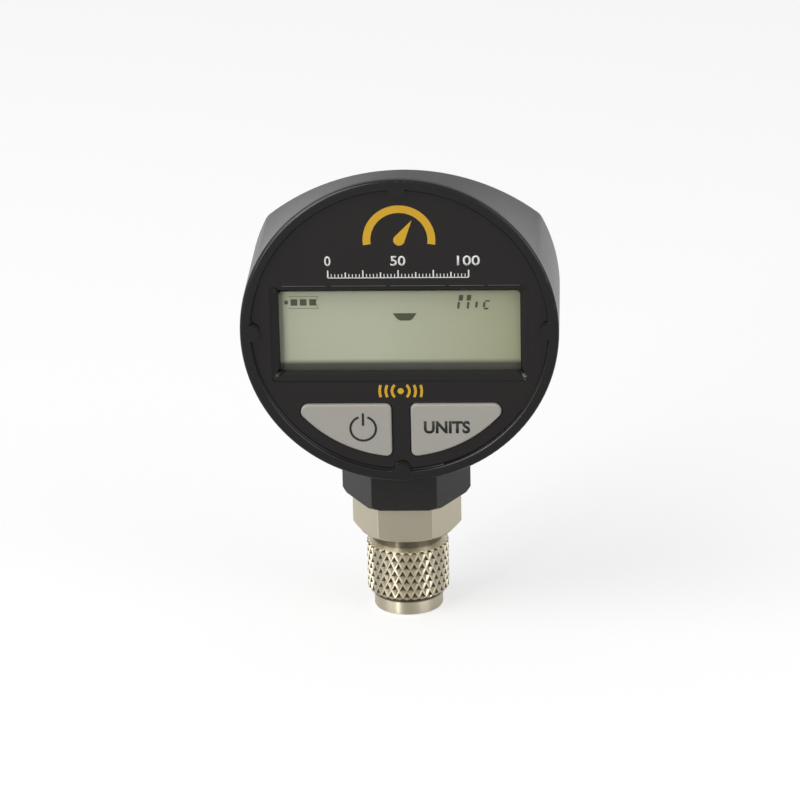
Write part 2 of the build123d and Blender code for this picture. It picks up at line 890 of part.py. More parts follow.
def depressor():
    """Pin that opens the valve core, on a three-legged spider in the bore."""
    pin = stem_prism(Circle(depressor_radius), depressor_tip, depressor_top)
    pin = chamfer(pin.edges().group_by(Axis.Z)[0], length=depressor_radius / 3)
    leg = Pos(gas_bore_radius / 2, 0) * Rectangle(gas_bore_radius, spider_leg)
    legs = [Rot(0, 0, 120 * k) * leg for k in range(3)]
    spider = as_one(legs) & Circle(gas_bore_radius - screw_slack / 2)
    return pin + stem_prism(spider, depressor_top - spider_height, depressor_top)


def nut_ring():
    """Wire ring that holds the nut on the tail."""
    return Pos(0, 0, ring_height) * Torus(tail_radius + slack, ring_section)


def lock_washer():
    """Tooth washer under the lock nut."""
    ring = Circle(lock_nut_width / 2) - Circle(spigot_radius + slack)
    for bite in PolarLocations(lock_nut_width / 2, lock_washer_teeth) * Circle(lock_washer_bite):
        ring = ring - bite
    return stem_prism(ring, floor_height, floor_height + lock_washer_thickness)


def lock_nut():
    """Thin nut that clamps the sensor body, collar and case together."""
    low = floor_height + lock_washer_thickness
    high = low + lock_nut_height
    nut = stem_prism(hexagon(lock_nut_width), low, high)
    across = lock_nut_width / math.sqrt(3)
    cap = turned(
        [
            (0, low),
            (across, low),
            (across, high - lock_nut_chamfer),
            (across - 2 * lock_nut_chamfer, high),
            (0, high),
        ]
    )
    return (nut & cap) - stem_prism(Circle(spigot_radius + slack), 0, high + overrun)


def sensor_header():
    """Header that closes the chamber, with four pins."""
    plug = stem_prism(Circle(chamber_radius - slack), spigot_top - header_plug, spigot_top + slack)
    flange = stem_prism(Circle(spigot_radius - spigot_chamfer), spigot_top, spigot_top + header_flange)
    header = plug + flange
    for spot in PolarLocations(pin_circle_radius, 4, 45):
        pin = spot * Circle(pin_radius)
        header = header + stem_prism(pin, spigot_top - pin_reach, sensor_board_height())
    return header


def sensor_board_height():
    """Underside of the small board on the header's pins."""
    return spigot_top + header_flange + sensor_board_gap


def thermistor_bead():
    """Bead on its fine wires, hung between two pins in the chamber."""
    offset_y = pin_circle_radius * math.sin(math.radians(45))
    span = 2 * (offset_y + pin_radius)
    spot = Pos(0, -offset_y, spigot_top - pin_reach - bead_wire_radius)
    return spot * (Rot(0, 90, 0) * Cylinder(bead_wire_radius, span) + Sphere(bead_radius))


def sensor_board():
    """Small round board that joins the pins to the flex."""
    low = sensor_board_height()
    return stem_prism(Circle(sensor_board_radius), low, low + sensor_board_thickness)


def sensor_flex():
    """Flat flex from the sensor board to the socket on the main board."""
    half = flex_thickness / 2
    lying = sensor_board_height() + sensor_board_thickness + half
    socket_foot = face_height - socket_drop - socket_height / 2
    hang = along(board_back + socket_thickness / 2)
    route = [
        (hang, socket_foot),
        (hang, lying),
        (hang + flex_landing, lying),
    ]
    path = Plane.YZ * FilletPolyline(*route, radius=flex_bend)
    start = Plane(origin=(0, hang, socket_foot), x_dir=(1, 0, 0), z_dir=(0, 0, -1))
    return sweep(start * Rectangle(flex_width, flex_thickness), path=path)


def knurled_band():
    """Closed faceted band of sunken diamonds between two crossed sets of helical ridges."""
    base = nut_collar_radius + slack
    low_r = knurl_radius - knurl_groove
    pitch = 2 * math.pi * knurl_radius / knurl_teeth
    bottom = knurl_bottom
    length = knurl_top - knurl_bottom
    rows = max(2, round(length / (pitch / 2 / math.tan(math.radians(knurl_angle)))))
    step = math.pi / knurl_teeth
    count = 2 * knurl_teeth

    def point(row, turn, radius):
        """Lattice point at a row and a half-tooth turn."""
        angle = turn * step
        height = bottom + length * row / rows
        return Vector(radius * math.cos(angle), radius * math.sin(angle), height)

    def end_point(height, turn):
        """Point of the plain polygon below or above the diamonds."""
        angle = turn * step
        return Vector(base * math.cos(angle), base * math.sin(angle), height)

    def surface(row, turn):
        """Crossing of two ridges, or the bottom of a diamond."""
        peak = (row + turn) % 2 == 0
        return point(row, turn, knurl_radius if peak else low_r)

    triangles = []
    for row in range(rows):
        for turn in range(count):
            corner = [surface(row, turn), surface(row, turn + 1)]
            upper = [surface(row + 1, turn), surface(row + 1, turn + 1)]
            if (row + turn) % 2 == 0:
                triangles.append((corner[0], corner[1], upper[1]))
                triangles.append((corner[0], upper[1], upper[0]))
            else:
                triangles.append((corner[0], corner[1], upper[0]))
                triangles.append((corner[1], upper[1], upper[0]))
    low_end = nut_collar_bottom_height
    high_end = knurl_top + knurl_bevel
    for turn in range(count):
        a, b = end_point(low_end, turn), end_point(low_end, turn + 1)
        c, d = surface(0, turn), surface(0, turn + 1)
        triangles.append((a, b, d))
        triangles.append((a, d, c))
        e, f = end_point(high_end, turn), end_point(high_end, turn + 1)
        g, h = surface(rows, turn), surface(rows, turn + 1)
        triangles.append((g, h, f))
        triangles.append((g, f, e))
    faces = [Face(Wire.make_polygon(list(corners3), close=True)) for corners3 in triangles]
    for height in (low_end, high_end):
        ring = [end_point(height, turn) for turn in range(count)]
        faces.append(Face(Wire.make_polygon(ring, close=True)))
    return Solid(Shell(faces))


def knurled_nut():
    """Swivel nut: two plain ends, the diamond band, the thread bore and the tail's bore."""
    ends = turned(
        [
            (0, 0),
            (nut_collar_radius - nut_end_chamfer, 0),
            (nut_collar_radius, nut_end_chamfer),
            (nut_collar_radius, nut_top - nut_end_chamfer),
            (nut_collar_radius - nut_end_chamfer, nut_top),
            (0, nut_top),
        ]
    )
    mouth = thread_radius + thread_start
    tail = tail_radius + tail_clearance
    ring_room = ring_section + ring_groove_play
    groove = tail_radius + slack + ring_room
    bore = turned(
        [
            (0, -overrun),
            (mouth + overrun, -overrun),
            (mouth, 0),
            (thread_radius, thread_start),
            (thread_radius, thread_end),
            (relief_radius, thread_end + (relief_radius - thread_radius) / 2),
            (relief_radius, relief_end - relief_chamfer),
            (tail, relief_end),
            (tail, ring_height - ring_room),
            (groove, ring_height - ring_room),
            (groove, ring_height + ring_room),
            (tail, ring_height + ring_room),
            (tail, nut_top + overrun),
            (0, nut_top + overrun),
        ]
    )
    return ends + knurled_band() - bore


def write(name, shape):
    """Write one node, with its solids in one file."""
    if isinstance(shape, list):
        solids = [solid for item in shape for solid in item.solids()]
        shape = Compound(children=solids)
    elif len(shape.solids()) == 1:
        shape = shape.solids()[0]
    export_step(shape, f"parts/{name}.step")


def build():
    """Write every node of the gauge."""
    os.makedirs("parts", exist_ok=True)
    write("front_cover", front_cover())
    write("face_label", face_label())
    write("display_window", display_window())
    write("lcd_panel", lcd_panel())
    write("lcd_holder", lcd_holder())
    write("lcd_connector", lcd_connector())
    write("power_key", key(-1))
    write("units_key", key(1))
    write("power_pill", key_pill(-1))
    write("units_pill", key_pill(1))
    write("keypad_mat", keypad_mat())
    write("key_contacts", key_contacts())
    write("main_board", main_board())
    write("board_screws", board_screws())
    write("controller_chip", controller_chip())
    write("radio_board", radio_board())
    write("radio_shield", radio_shield())
    write("crystal", crystal())
    write("capacitors", capacitors())
    write("sensor_socket", sensor_socket())
    write("rear_shell", rear_shell())
    write("case_gasket", case_gasket())
    write("case_screws", case_screws())
    write("battery_door", battery_door())
    write("cell_1", cell(cell_centre, 1))
    write("cell_2", cell(-cell_centre, -1))
    write("contact_bridge", contact_bridge())
    write("contact_positive", end_contact(cell_centre))
    write("contact_negative", end_contact(-cell_centre))
    write("hex_collar", hex_collar())
    write("collar_gasket", collar_gasket())
    write("sensor_oring", sensor_oring())
    write("sensor_body", sensor_body())
    write("sensor_header", sensor_header())
    write("thermistor_bead", thermistor_bead())
    write("sensor_board", sensor_board())
    write("sensor_flex", sensor_flex())
    write("lock_washer", lock_washer())
    write("lock_nut", lock_nut())
    write("flare_gasket", flare_gasket())
    write("depressor", depressor())
    write("nut_ring", nut_ring())
    write("knurled_nut", knurled_nut())


build()
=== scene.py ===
"""Looks of a round digital vacuum gauge with a knurled swivel nut.

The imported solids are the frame. Housing, keys and stem are finished copies of them, the nut is
turned and knurled anew, and the print, the display's segments and the key legends are thin pieces
on the surfaces.
"""

import logging
import math
from dataclasses import dataclass, field
from enum import Enum
from typing import Callable, Iterator, Sequence

import bpy
from mathutils import Euler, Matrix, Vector


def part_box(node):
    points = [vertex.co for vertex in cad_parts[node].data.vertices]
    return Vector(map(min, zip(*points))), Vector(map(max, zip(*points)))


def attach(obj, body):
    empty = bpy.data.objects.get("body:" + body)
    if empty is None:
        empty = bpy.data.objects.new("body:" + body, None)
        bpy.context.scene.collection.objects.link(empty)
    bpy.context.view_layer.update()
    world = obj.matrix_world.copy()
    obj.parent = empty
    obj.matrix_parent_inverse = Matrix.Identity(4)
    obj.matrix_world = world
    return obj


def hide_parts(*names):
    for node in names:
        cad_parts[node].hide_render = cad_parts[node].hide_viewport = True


MM = 0.001
MICRON = 0.000001
LOG = logging.getLogger("gauge")

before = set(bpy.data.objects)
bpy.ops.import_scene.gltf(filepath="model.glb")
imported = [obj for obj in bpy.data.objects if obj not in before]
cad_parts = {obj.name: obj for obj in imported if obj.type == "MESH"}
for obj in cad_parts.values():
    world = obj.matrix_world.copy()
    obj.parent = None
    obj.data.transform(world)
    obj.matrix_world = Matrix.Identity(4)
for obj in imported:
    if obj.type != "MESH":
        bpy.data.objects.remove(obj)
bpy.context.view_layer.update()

Point = tuple[float, float]
Box = tuple[float, float, float, float]
Loop = list[Point]
Piece = bpy.types.Object
Socket = bpy.types.NodeSocket


class Body(Enum):
    """Bodies that the pieces ride on."""

    GAUGE = "gauge"
    POWER_KEY = "power_key"
    UNITS_KEY = "units_key"
    NUT = "swivel_nut"


class Slot(Enum):
    """Slots of the record's materials."""

    CASE = "case_black"
    LABEL = "label_black"
    DISPLAY = "lcd_glass"
    KEY = "key_rubber"
    COLLAR = "collar_black"
    STEM = "nickel_brass"
    NUT = "nut_nickel"


class Axis(Enum):
    """Directions of the shared frame."""

    X = "X"
    Y = "Y"
    Z = "Z"


class Step(Enum):
    """What a node works out from one or two values."""

    LARGER = "MAXIMUM"
    TIMES = "MULTIPLY"
    OVER = "DIVIDE"
    SIZE = "ABSOLUTE"


class Mixed(Enum):
    """What a node mixes: its type, its first input and its output."""

    COLOURS = ("RGBA", 6, 2)
    NUMBERS = ("FLOAT", 2, 0)


class Ray(Enum):
    """Kinds of ray that the background looks different to."""

    CAMERA = "Is Camera Ray"
    GLOSSY = "Is Glossy Ray"
    THROUGH = "Is Transmission Ray"


@dataclass(frozen=True)
class Colour:
    """A colour as a screen shows it.

    Attributes:
        red: Red channel, 0 to 255.
        green: Green channel, 0 to 255.
        blue: Blue channel, 0 to 255.
    """

    red: float
    green: float
    blue: float

    def linear(self) -> tuple[float, float, float, float]:
        """Returns the scene-linear colour with full alpha."""
        return (*[_linear(channel / 255.0) for channel in (self.red, self.green, self.blue)], 1.0)

    def scaled(self, factor: float) -> "Colour":
        """Returns the colour made lighter or darker by a factor."""
        return Colour(*[min(255.0, c * factor) for c in (self.red, self.green, self.blue)])


def _linear(value: float) -> float:
    """Turns one display channel, 0 to 1, into scene-linear light."""
    return value / 12.92 if value <= 0.04045 else ((value + 0.055) / 1.055) ** 2.4


# Shader building


class Graph:
    """Places and links the nodes of one tree."""

    def __init__(self, tree: bpy.types.NodeTree, place: str) -> None:
        """Starts on a tree.

        Args:
            tree: Node tree of a material or a world.
            place: The texture coordinate that its patterns read.
        """
        self.tree = tree
        self.coordinates = tree.nodes.new("ShaderNodeTexCoord")
        self.place = self.coordinates.outputs[place]

    def feed(self, target: Socket, value: object) -> None:
        """Links a socket to an input, or sets a plain value there.

        Args:
            target: The input.
            value: A socket, number or colour.
        """
        if isinstance(value, Socket):
            self.tree.links.new(value, target)
        else:
            target.default_value = value

    def noise(self, scale: float, detail: float, stretch: Sequence[float] = (1, 1, 1)) -> Socket:
        """Makes a noise.

        Args:
            scale: Features for each metre.
            detail: Octaves of finer noise.
            stretch: Factor on the scale along each axis.

        Returns:
            The noise, about 0 to 1.
        """
        mapping = self.tree.nodes.new("ShaderNodeMapping")
        mapping.inputs["Scale"].default_value = stretch
        self.feed(mapping.inputs["Vector"], self.place)
        noise = self.tree.nodes.new("ShaderNodeTexNoise")
        noise.inputs["Scale"].default_value = scale
        noise.inputs["Detail"].default_value = detail
        self.feed(noise.inputs["Vector"], mapping.outputs["Vector"])
        return noise.outputs[0]

    def part(self, vector: Socket, axis: Axis) -> Socket:
        """Takes one part of a vector.

        Args:
            vector: The vector.
            axis: Which part.

        Returns:
            The part.
        """
        split = self.tree.nodes.new("ShaderNodeSeparateXYZ")
        self.feed(split.inputs[0], vector)
        return split.outputs[axis.value]

    def axis(self, axis: Axis) -> Socket:
        """Returns one of the coordinates that the patterns read."""
        return self.part(self.place, axis)

    def span(self, value: Socket, source: Point, target: Point = (0.0, 1.0)) -> Socket:
        """Maps a value from one range to another, and holds it at the ends.

        Args:
            value: The value.
            source: Ends of the range that it comes from.
            target: Ends of the range that it goes to.

        Returns:
            The mapped value.
        """
        node = self.tree.nodes.new("ShaderNodeMapRange")
        for key, number in zip(("From Min", "From Max", "To Min", "To Max"), (*source, *target)):
            node.inputs[key].default_value = number
        self.feed(node.inputs["Value"], value)
        return node.outputs[0]

    def mix(self, factor: Socket, first: object, second: object,
            kind: Mixed = Mixed.COLOURS) -> Socket:
        """Mixes two colours or two numbers.

        Args:
            factor: Share of the second.
            first: The first, plain or a socket.
            second: The second, plain or a socket.
            kind: Whether they are colours or numbers.

        Returns:
            The mixture.
        """
        node = self.tree.nodes.new("ShaderNodeMix")
        node.data_type, start, result = kind.value
        for place, value in ((0, factor), (start, first), (start + 1, second)):
            self.feed(node.inputs[place], value)
        return node.outputs[result]

    def math(self, step: Step, first: Socket, second: object = 0.0) -> Socket:
        """Works out a value from one or two others.

        Args:
            step: What is worked out.
            first: The first value.
            second: The second, plain or a socket.

        Returns:
            The result.
        """
        node = self.tree.nodes.new("ShaderNodeMath")
        node.operation = step.value
        self.feed(node.inputs[0], first)
        self.feed(node.inputs[1], second)
        return node.outputs[0]

    def ray(self, kind: Ray) -> Socket:
        """Returns 1 for rays of a kind and 0 for others."""
        return self.tree.nodes.new("ShaderNodeLightPath").outputs[kind.value]


class Bench(Graph):
    """Builds the shader of one material on object coordinates."""

    def __init__(self, name: str) -> None:
        """Starts a material.

        Args:
            name: Name of the material.
        """
        self.material = bpy.data.materials.new(name)
        self.material.use_nodes = True
        super().__init__(self.material.node_tree, "Object")
        self.shader = next(n for n in self.tree.nodes if n.type == "BSDF_PRINCIPLED")

    def set(self, **values: object) -> None:
        """Sets or links the shader's own inputs, named with underscores for spaces."""
        for name, value in values.items():
            self.feed(self.shader.inputs[name.replace("_", " ")], value)

    def relief(self, height: Socket, depth: float) -> None:
        """Bumps the surface.

        Args:
            height: Value that the relief follows.
            depth: Depth of the relief in metres.
        """
        bump = self.tree.nodes.new("ShaderNodeBump")
        bump.inputs["Strength"].default_value = 1.0
        bump.inputs["Distance"].default_value = depth
        self.feed(bump.inputs["Height"], height)
        self.set(Normal=bump.outputs["Normal"])


@dataclass(frozen=True)
class Finish:
    """A finish whose colour, gloss and relief vary with a grain.

    Attributes:
        name: Name of the finish.
        colour: Main colour.
        other: Colour that slow clouds lead it to.
        gloss: Roughness at the two ends of the grain.
        grain: Features for each metre.
        stretch: Factor on the grain along each axis.
        depth: Relief of the grain in micrometres.
        metal: 1 for bare metal.
        coat: Weight of a clear coat.
        brushed: How far highlights are drawn out up and down the stem, 0 to 1.
        octaves: Octaves of the grain.
        grain_reach: Values of the grain that count as its ends.
        clouds: Clouds for each metre.
        cloud_octaves: Octaves of the clouds.
        coat_gloss: Roughness of the clear coat.
        brush_turn: Turn of the brushing, in parts of a full turn.
    """

    name: str
    colour: Colour
    other: Colour
    gloss: Point = (0.35, 0.45)
    grain: float = 1500
    stretch: tuple[float, float, float] = (1, 1, 1)
    depth: float = 10
    metal: float = 0
    coat: float = 0
    brushed: float = 0
    octaves: float = 4
    grain_reach: Point = (0.3, 0.7)
    clouds: float = 120
    cloud_octaves: float = 2
    coat_gloss: float = 0.08
    brush_turn: float = 0.25

    @property
    def title(self) -> str:
        """Name of the material, kept apart from the names of the record's slots."""
        return f"{self.name}_finish"

    def build(self) -> bpy.types.Material:
        """Builds the material.

        Returns:
            The material.
        """
        bench = Bench(self.title)
        grain = bench.noise(self.grain, self.octaves, self.stretch)
        cloud = bench.noise(self.clouds, self.cloud_octaves)
        bench.set(
            Base_Color=bench.mix(cloud, self.colour.linear(), self.other.linear()),
            Roughness=bench.span(grain, self.grain_reach, self.gloss),
            Metallic=self.metal,
            Coat_Weight=self.coat,
            Coat_Roughness=self.coat_gloss,
            Anisotropic=self.brushed,
            Anisotropic_Rotation=self.brush_turn,
        )
        self.detail(bench)
        bench.relief(self.height(bench, grain), self.depth * MICRON)
        return bench.material

    def detail(self, bench: Bench) -> None:
        """Adds what one kind of finish has beyond the grain."""

    def height(self, bench: Bench, grain: Socket) -> Socket:
        """Returns what the relief follows, which is the grain unless a finish says otherwise."""
        return grain


@dataclass(frozen=True)
class Silicone(Finish):
    """Milky rubber that lets a little light through.

    Attributes:
        milk: Share of the light that is scattered inside.
        milk_depth: How deep the light goes, in metres.
        shine: Strength of the surface's reflection.
    """

    milk: float = 0.25
    milk_depth: float = 0.0008
    shine: float = 0.4

    def detail(self, bench: Bench) -> None:
        """Scatters light inside the rubber."""
        bench.set(Subsurface_Weight=self.milk, Subsurface_Scale=self.milk_depth,
                  Specular_IOR_Level=self.shine)


@dataclass(frozen=True)
class DisplayGlass(Finish):
    """Display glass, darker and greener at the right, with painted shade along its foot and left
    edge and a painted highlight along its top.

    Attributes:
        right: Colour at the right end.
        foot: Colour of the shaded foot.
        half_width: Half the width that the colours cross, in metres.
        turn: Where the colour begins to turn, in parts of the half width.
        edge: Where the left edge's shade ends, in parts of the half width.
        edge_shade: Strength of the left edge's shade.
        foot_span: Heights between which the foot's shade fades, in metres.
        top_span: Heights between which the painted highlight on the upper edge begins, in metres.
        top_highlight: Strength of the painted highlight on the upper edge.
        top_factor: How much lighter the painted highlight's colour is.
    """

    right: Colour = Colour(172, 174, 142)
    foot: Colour = Colour(84, 83, 75)
    half_width: float = 0.023
    turn: float = -0.2
    edge: float = -0.94
    edge_shade: float = 0.35
    foot_span: Point = (0.0, 0.0)
    top_span: Point = (0.0, 0.0)
    top_highlight: float = 0.6
    top_factor: float = 1.15

    def detail(self, bench: Bench) -> None:
        """Crosses the colours along the glass, paints shade on its foot and left edge, and paints
        a highlight along its top.

        Args:
            bench: The material.
        """
        half = self.half_width
        x, z = bench.axis(Axis.X), bench.axis(Axis.Z)
        across = bench.span(x, (self.turn * half, half))
        body = bench.mix(across, self.colour.linear(), self.right.linear())
        foot = bench.span(z, self.foot_span, (1.0, 0.0))
        edge = bench.span(x, (-half, self.edge * half), (self.edge_shade, 0.0))
        shaded = bench.mix(bench.math(Step.LARGER, foot, edge), body, self.foot.linear())
        # painted highlight along the glass's upper edge
        top = bench.span(z, self.top_span, (0.0, self.top_highlight))
        highlight_colour = self.colour.scaled(self.top_factor).linear()
        bench.set(Base_Color=bench.mix(top, shaded, highlight_colour))


@dataclass(frozen=True)
class ClearPane(Finish):
    """Thin clear pane that mostly shows what is behind it.

    Attributes:
        cover: Share of the pane that is seen.
    """

    cover: float = 0.03

    def detail(self, bench: Bench) -> None:
        """Makes the pane see-through but for its gloss."""
        bench.set(Alpha=self.cover)


@dataclass(frozen=True)
class TurnedMetal(Finish):
    """Plated metal with fine lathe lines, with painted shade in the neck and on the knurl's faces
    that look down.

    Attributes:
        lines: Lathe lines for each metre of height.
        shade_colour: Colour of the painted shade.
        knurl_span: Heights of the knurl's two ends, in metres.
        fade: Height over which the painted shade sets in at the knurl's foot, in metres.
        under: Upright parts of the surface's direction between which the painted shade fades.
        under_shade: Strength of the painted shade on faces that look down.
        neck_edge: Half the height over which the neck's painted shade sets in, in metres.
        neck_shade: Strength of the neck's painted shade.
    """

    lines: float = 5200
    shade_colour: Colour = Colour(68, 59, 40)
    knurl_span: Point = (0.00265, 0.01455)
    fade: float = 0.0004
    under: Point = (-0.36, -0.05)
    under_shade: float = 0.92
    neck_edge: float = 0.0001
    neck_shade: float = 0.8

    def detail(self, bench: Bench) -> None:
        """Paints shade on the faces of the knurl that look down, and on the neck above it.

        Args:
            bench: The material.
        """
        low, high = self.knurl_span
        upright = bench.part(bench.coordinates.outputs["Normal"], Axis.Z)
        under = bench.span(upright, self.under, (self.under_shade, 0.0))
        height = bench.axis(Axis.Z)
        band = bench.span(height, (low, low + self.fade))
        neck = bench.span(height, (high - self.neck_edge, high + self.neck_edge),
                          (0.0, self.neck_shade))
        # painted shade on the knurl's faces that look down and on the neck between hexagon and
        # knurl
        dark = bench.math(Step.LARGER, bench.math(Step.TIMES, under, band), neck)
        bench.set(Base_Color=bench.mix(dark, self.colour.linear(), self.shade_colour.linear()))

    def height(self, bench: Bench, grain: Socket) -> Socket:
        """Returns fine rings, which spread a highlight up and down but not round the stem."""
        return bench.noise(self.lines, 1, (0.01, 0.01, 1))


@dataclass(frozen=True)
class CellJacket(Finish):
    """Cell jacket with a band of another colour at one end.

    Attributes:
        band: Colour of the band.
        edge: Place along X where the band begins, in metres.
        line: Width over which the colour changes, in metres.
    """

    band: Colour = Colour(196, 150, 62)
    edge: float = 0.010
    line: float = 0.0001

    def detail(self, bench: Bench) -> None:
        """Puts the band past its edge."""
        past = bench.span(bench.axis(Axis.X), (self.edge, self.edge + self.line))
        bench.set(Base_Color=bench.mix(past, self.colour.linear(), self.band.linear()))


@dataclass(frozen=True)
class CircuitBoard(Finish):
    """Solder mask over a pattern of copper tracks.

    Attributes:
        tracks: Tracks for each metre.
        track_stretch: Factor on the tracks along each axis.
        track_reach: Values of the pattern between which a track begins.
        track_light: How much lighter the mask is over a track.
    """

    tracks: float = 420
    track_stretch: tuple[float, float, float] = (1, 1, 0.25)
    track_reach: Point = (0.52, 0.54)
    track_light: float = 1.5

    def detail(self, bench: Bench) -> None:
        """Lightens the mask where tracks lie under it.

        Args:
            bench: The material.
        """
        pattern = bench.noise(self.tracks, 0, self.track_stretch)
        lighter = bench.span(pattern, self.track_reach)
        over = self.colour.scaled(self.track_light).linear()
        bench.set(Base_Color=bench.mix(lighter, self.colour.linear(), over))


NICKEL = Colour(236, 227, 203)

CASE_PLASTIC = Finish("case_black", Colour(34, 32, 35), Colour(38, 36, 39),
                      gloss=(0.31, 0.39), grain=2600, depth=3)
COVER_PLASTIC = Finish("cover_black", Colour(22, 20, 19), Colour(25, 23, 22),
                       gloss=(0.16, 0.22), grain=1500, depth=0.8)
LABEL_FILM = Finish("label_film", Colour(27, 24, 23), Colour(29, 26, 25),
                    gloss=(0.10, 0.14), grain=500, depth=0.4)
KEY_SILICONE = Silicone("key_silicone", Colour(170, 167, 159), Colour(166, 163, 155),
                        gloss=(0.36, 0.46), grain=1400, depth=1.5)
INK_YELLOW = Finish("ink_yellow", Colour(214, 168, 38), Colour(206, 160, 34),
                    gloss=(0.35, 0.45), grain=2200, depth=2)
# Painted highlight along the label's edge above the display.
EDGE_HIGHLIGHT = Finish("edge_highlight", Colour(128, 126, 122), Colour(60, 58, 56),
                  gloss=(0.4, 0.5), grain=700, depth=1)
INK_WHITE = Finish("ink_white", Colour(232, 232, 230), Colour(224, 224, 222),
                   gloss=(0.35, 0.45), grain=2200, depth=2)
INK_BLACK = Finish("ink_black", Colour(27, 26, 25), Colour(32, 31, 30),
                   gloss=(0.45, 0.55), grain=2200, depth=2)
SEGMENT_INK = Finish("segment_ink", Colour(84, 88, 69), Colour(80, 84, 66),
                     gloss=(0.4, 0.5), grain=2200, depth=0.5)
SEGMENT_FAINT = Finish("segment_faint", Colour(140, 144, 120), Colour(136, 140, 116),
                       gloss=(0.4, 0.5), grain=2200, depth=0.5)
PANE = ClearPane("clear_pane", Colour(60, 62, 56), Colour(58, 60, 54),
                 gloss=(0.02, 0.04), grain=500, depth=0.3)
COLLAR_BLACK = Finish("collar_black", Colour(30, 28, 27), Colour(34, 32, 31),
                      gloss=(0.26, 0.34), grain=2400, depth=3)
STEM_NICKEL = Finish("stem_nickel", NICKEL, NICKEL.scaled(0.95), gloss=(0.32, 0.38), grain=900,
                     stretch=(1, 1, 0.08), depth=1, metal=1, brushed=0.9)
# Nickel with painted shade in the neck and on the knurl's faces that look down.
NUT_NICKEL = TurnedMetal("nut_nickel", NICKEL.scaled(1.02), NICKEL.scaled(0.96),
                         gloss=(0.36, 0.42), grain=1800, depth=1, metal=1, brushed=0.97)
SCREW_STEEL = Finish("screw_steel", Colour(120, 120, 122), Colour(96, 96, 99),
                     gloss=(0.30, 0.42), grain=2600, depth=6, metal=1)
SPRING_STEEL = Finish("spring_steel", Colour(190, 188, 182), Colour(176, 174, 168),
                      gloss=(0.22, 0.34), grain=3000, stretch=(1, 0.2, 1), depth=4, metal=1)
TIN_PLATE = Finish("tin_plate", Colour(186, 186, 182), Colour(172, 172, 168),
                   gloss=(0.28, 0.40), grain=900, stretch=(1, 1, 0.2), depth=6, metal=1)
COPPER = Finish("soft_copper", Colour(200, 122, 84), Colour(176, 100, 66),
                gloss=(0.28, 0.42), grain=1600, depth=6, metal=1)
PAD_GOLD = Finish("pad_gold", Colour(214, 178, 92), Colour(204, 166, 80),
                  gloss=(0.25, 0.35), grain=2600, depth=3, metal=1)
BOARD = CircuitBoard("solder_mask", Colour(20, 84, 50), Colour(22, 90, 54),
                     gloss=(0.28, 0.38), grain=1200, depth=10)
CHIP_BLACK = Finish("chip_package", Colour(40, 40, 42), Colour(46, 46, 48),
                    gloss=(0.45, 0.6), grain=3000, depth=10)
CERAMIC = Finish("capacitor_body", Colour(176, 148, 108), Colour(164, 136, 98),
                 gloss=(0.4, 0.55), grain=3200, depth=6)
SOCKET = Finish("socket_plastic", Colour(222, 214, 192), Colour(212, 204, 182),
                gloss=(0.4, 0.5), grain=2400, depth=8)
SEAL = Finish("seal_rubber", Colour(34, 34, 35), Colour(42, 42, 43),
              gloss=(0.5, 0.65), grain=2600, depth=10)
MAT_RUBBER = Silicone("mat_silicone", Colour(180, 178, 172), Colour(172, 170, 164),
                      gloss=(0.45, 0.6), grain=1400, depth=6)
CARBON = Finish("carbon_pill", Colour(38, 38, 39), Colour(46, 46, 47),
                gloss=(0.55, 0.7), grain=3600, depth=10)
STRIP = CircuitBoard("connector_strip", Colour(120, 122, 128), Colour(104, 106, 112),
                     gloss=(0.45, 0.6), grain=2600, depth=6)
FLEX = Finish("flex_film", Colour(196, 132, 48), Colour(186, 122, 42),
              gloss=(0.18, 0.28), grain=800, depth=3, coat=0.3)
BEAD = Finish("bead_glass", Colour(92, 60, 48), Colour(78, 50, 42),
              gloss=(0.12, 0.2), grain=2600, depth=3, coat=0.5)
HEADER = Finish("header_plate", Colour(206, 190, 140), Colour(196, 178, 128),
                gloss=(0.24, 0.36), grain=2600, depth=3, metal=1)
JACKET = CellJacket("cell_jacket", Colour(34, 38, 52), Colour(38, 42, 58),
                    gloss=(0.2, 0.3), grain=900, depth=3, coat=0.3)
JACKET_BACK = CellJacket("cell_jacket_back", JACKET.band, Colour(190, 144, 58),
                         gloss=(0.2, 0.3), grain=900, depth=3, coat=0.3,
                         band=JACKET.colour, edge=-JACKET.edge)


# Modelling by hand

COPLANAR = math.radians(0.4)
SHARP = 30.0


def deselect() -> None:
    """Leaves edit mode and deselects everything."""
    if bpy.context.object and bpy.context.object.mode != "OBJECT":
        bpy.ops.object.mode_set(mode="OBJECT")
    bpy.ops.object.select_all(action="DESELECT")


def select(piece: Piece) -> Piece:
    """Selects one piece alone and makes it active.

    Args:
        piece: The piece.

    Returns:
        The same piece.
    """
    deselect()
    piece.select_set(True)
    bpy.context.view_layer.objects.active = piece
    return piece


def edit_all() -> None:
    """Opens the active piece in edit mode with all of it selected."""
    bpy.ops.object.mode_set(mode="EDIT")
    bpy.ops.mesh.select_all(action="SELECT")


def linked(name: str, data: bpy.types.ID) -> Piece:
    """Makes an object and links it to the scene.

    Args:
        name: Name of the object.
        data: Its mesh, curve, lamp or camera data.

    Returns:
        The object.
    """
    piece = bpy.data.objects.new(name, data)
    bpy.context.scene.collection.objects.link(piece)
    return piece


def weld(piece: Piece, distance: float = 2e-6, outward: bool = False) -> None:
    """Merges the double points of a piece.

    Args:
        piece: Mesh piece.
        distance: Largest gap that is closed, in metres.
        outward: Whether the faces are turned outwards afterwards.
    """
    select(piece)
    edit_all()
    bpy.ops.mesh.remove_doubles(threshold=distance)
    if outward:
        bpy.ops.mesh.normals_make_consistent(inside=False)
    bpy.ops.object.mode_set(mode="OBJECT")


def smooth(piece: Piece, degrees: float) -> None:
    """Shades a piece smooth below an angle."""
    select(piece)
    bpy.ops.object.shade_smooth_by_angle(angle=math.radians(degrees))


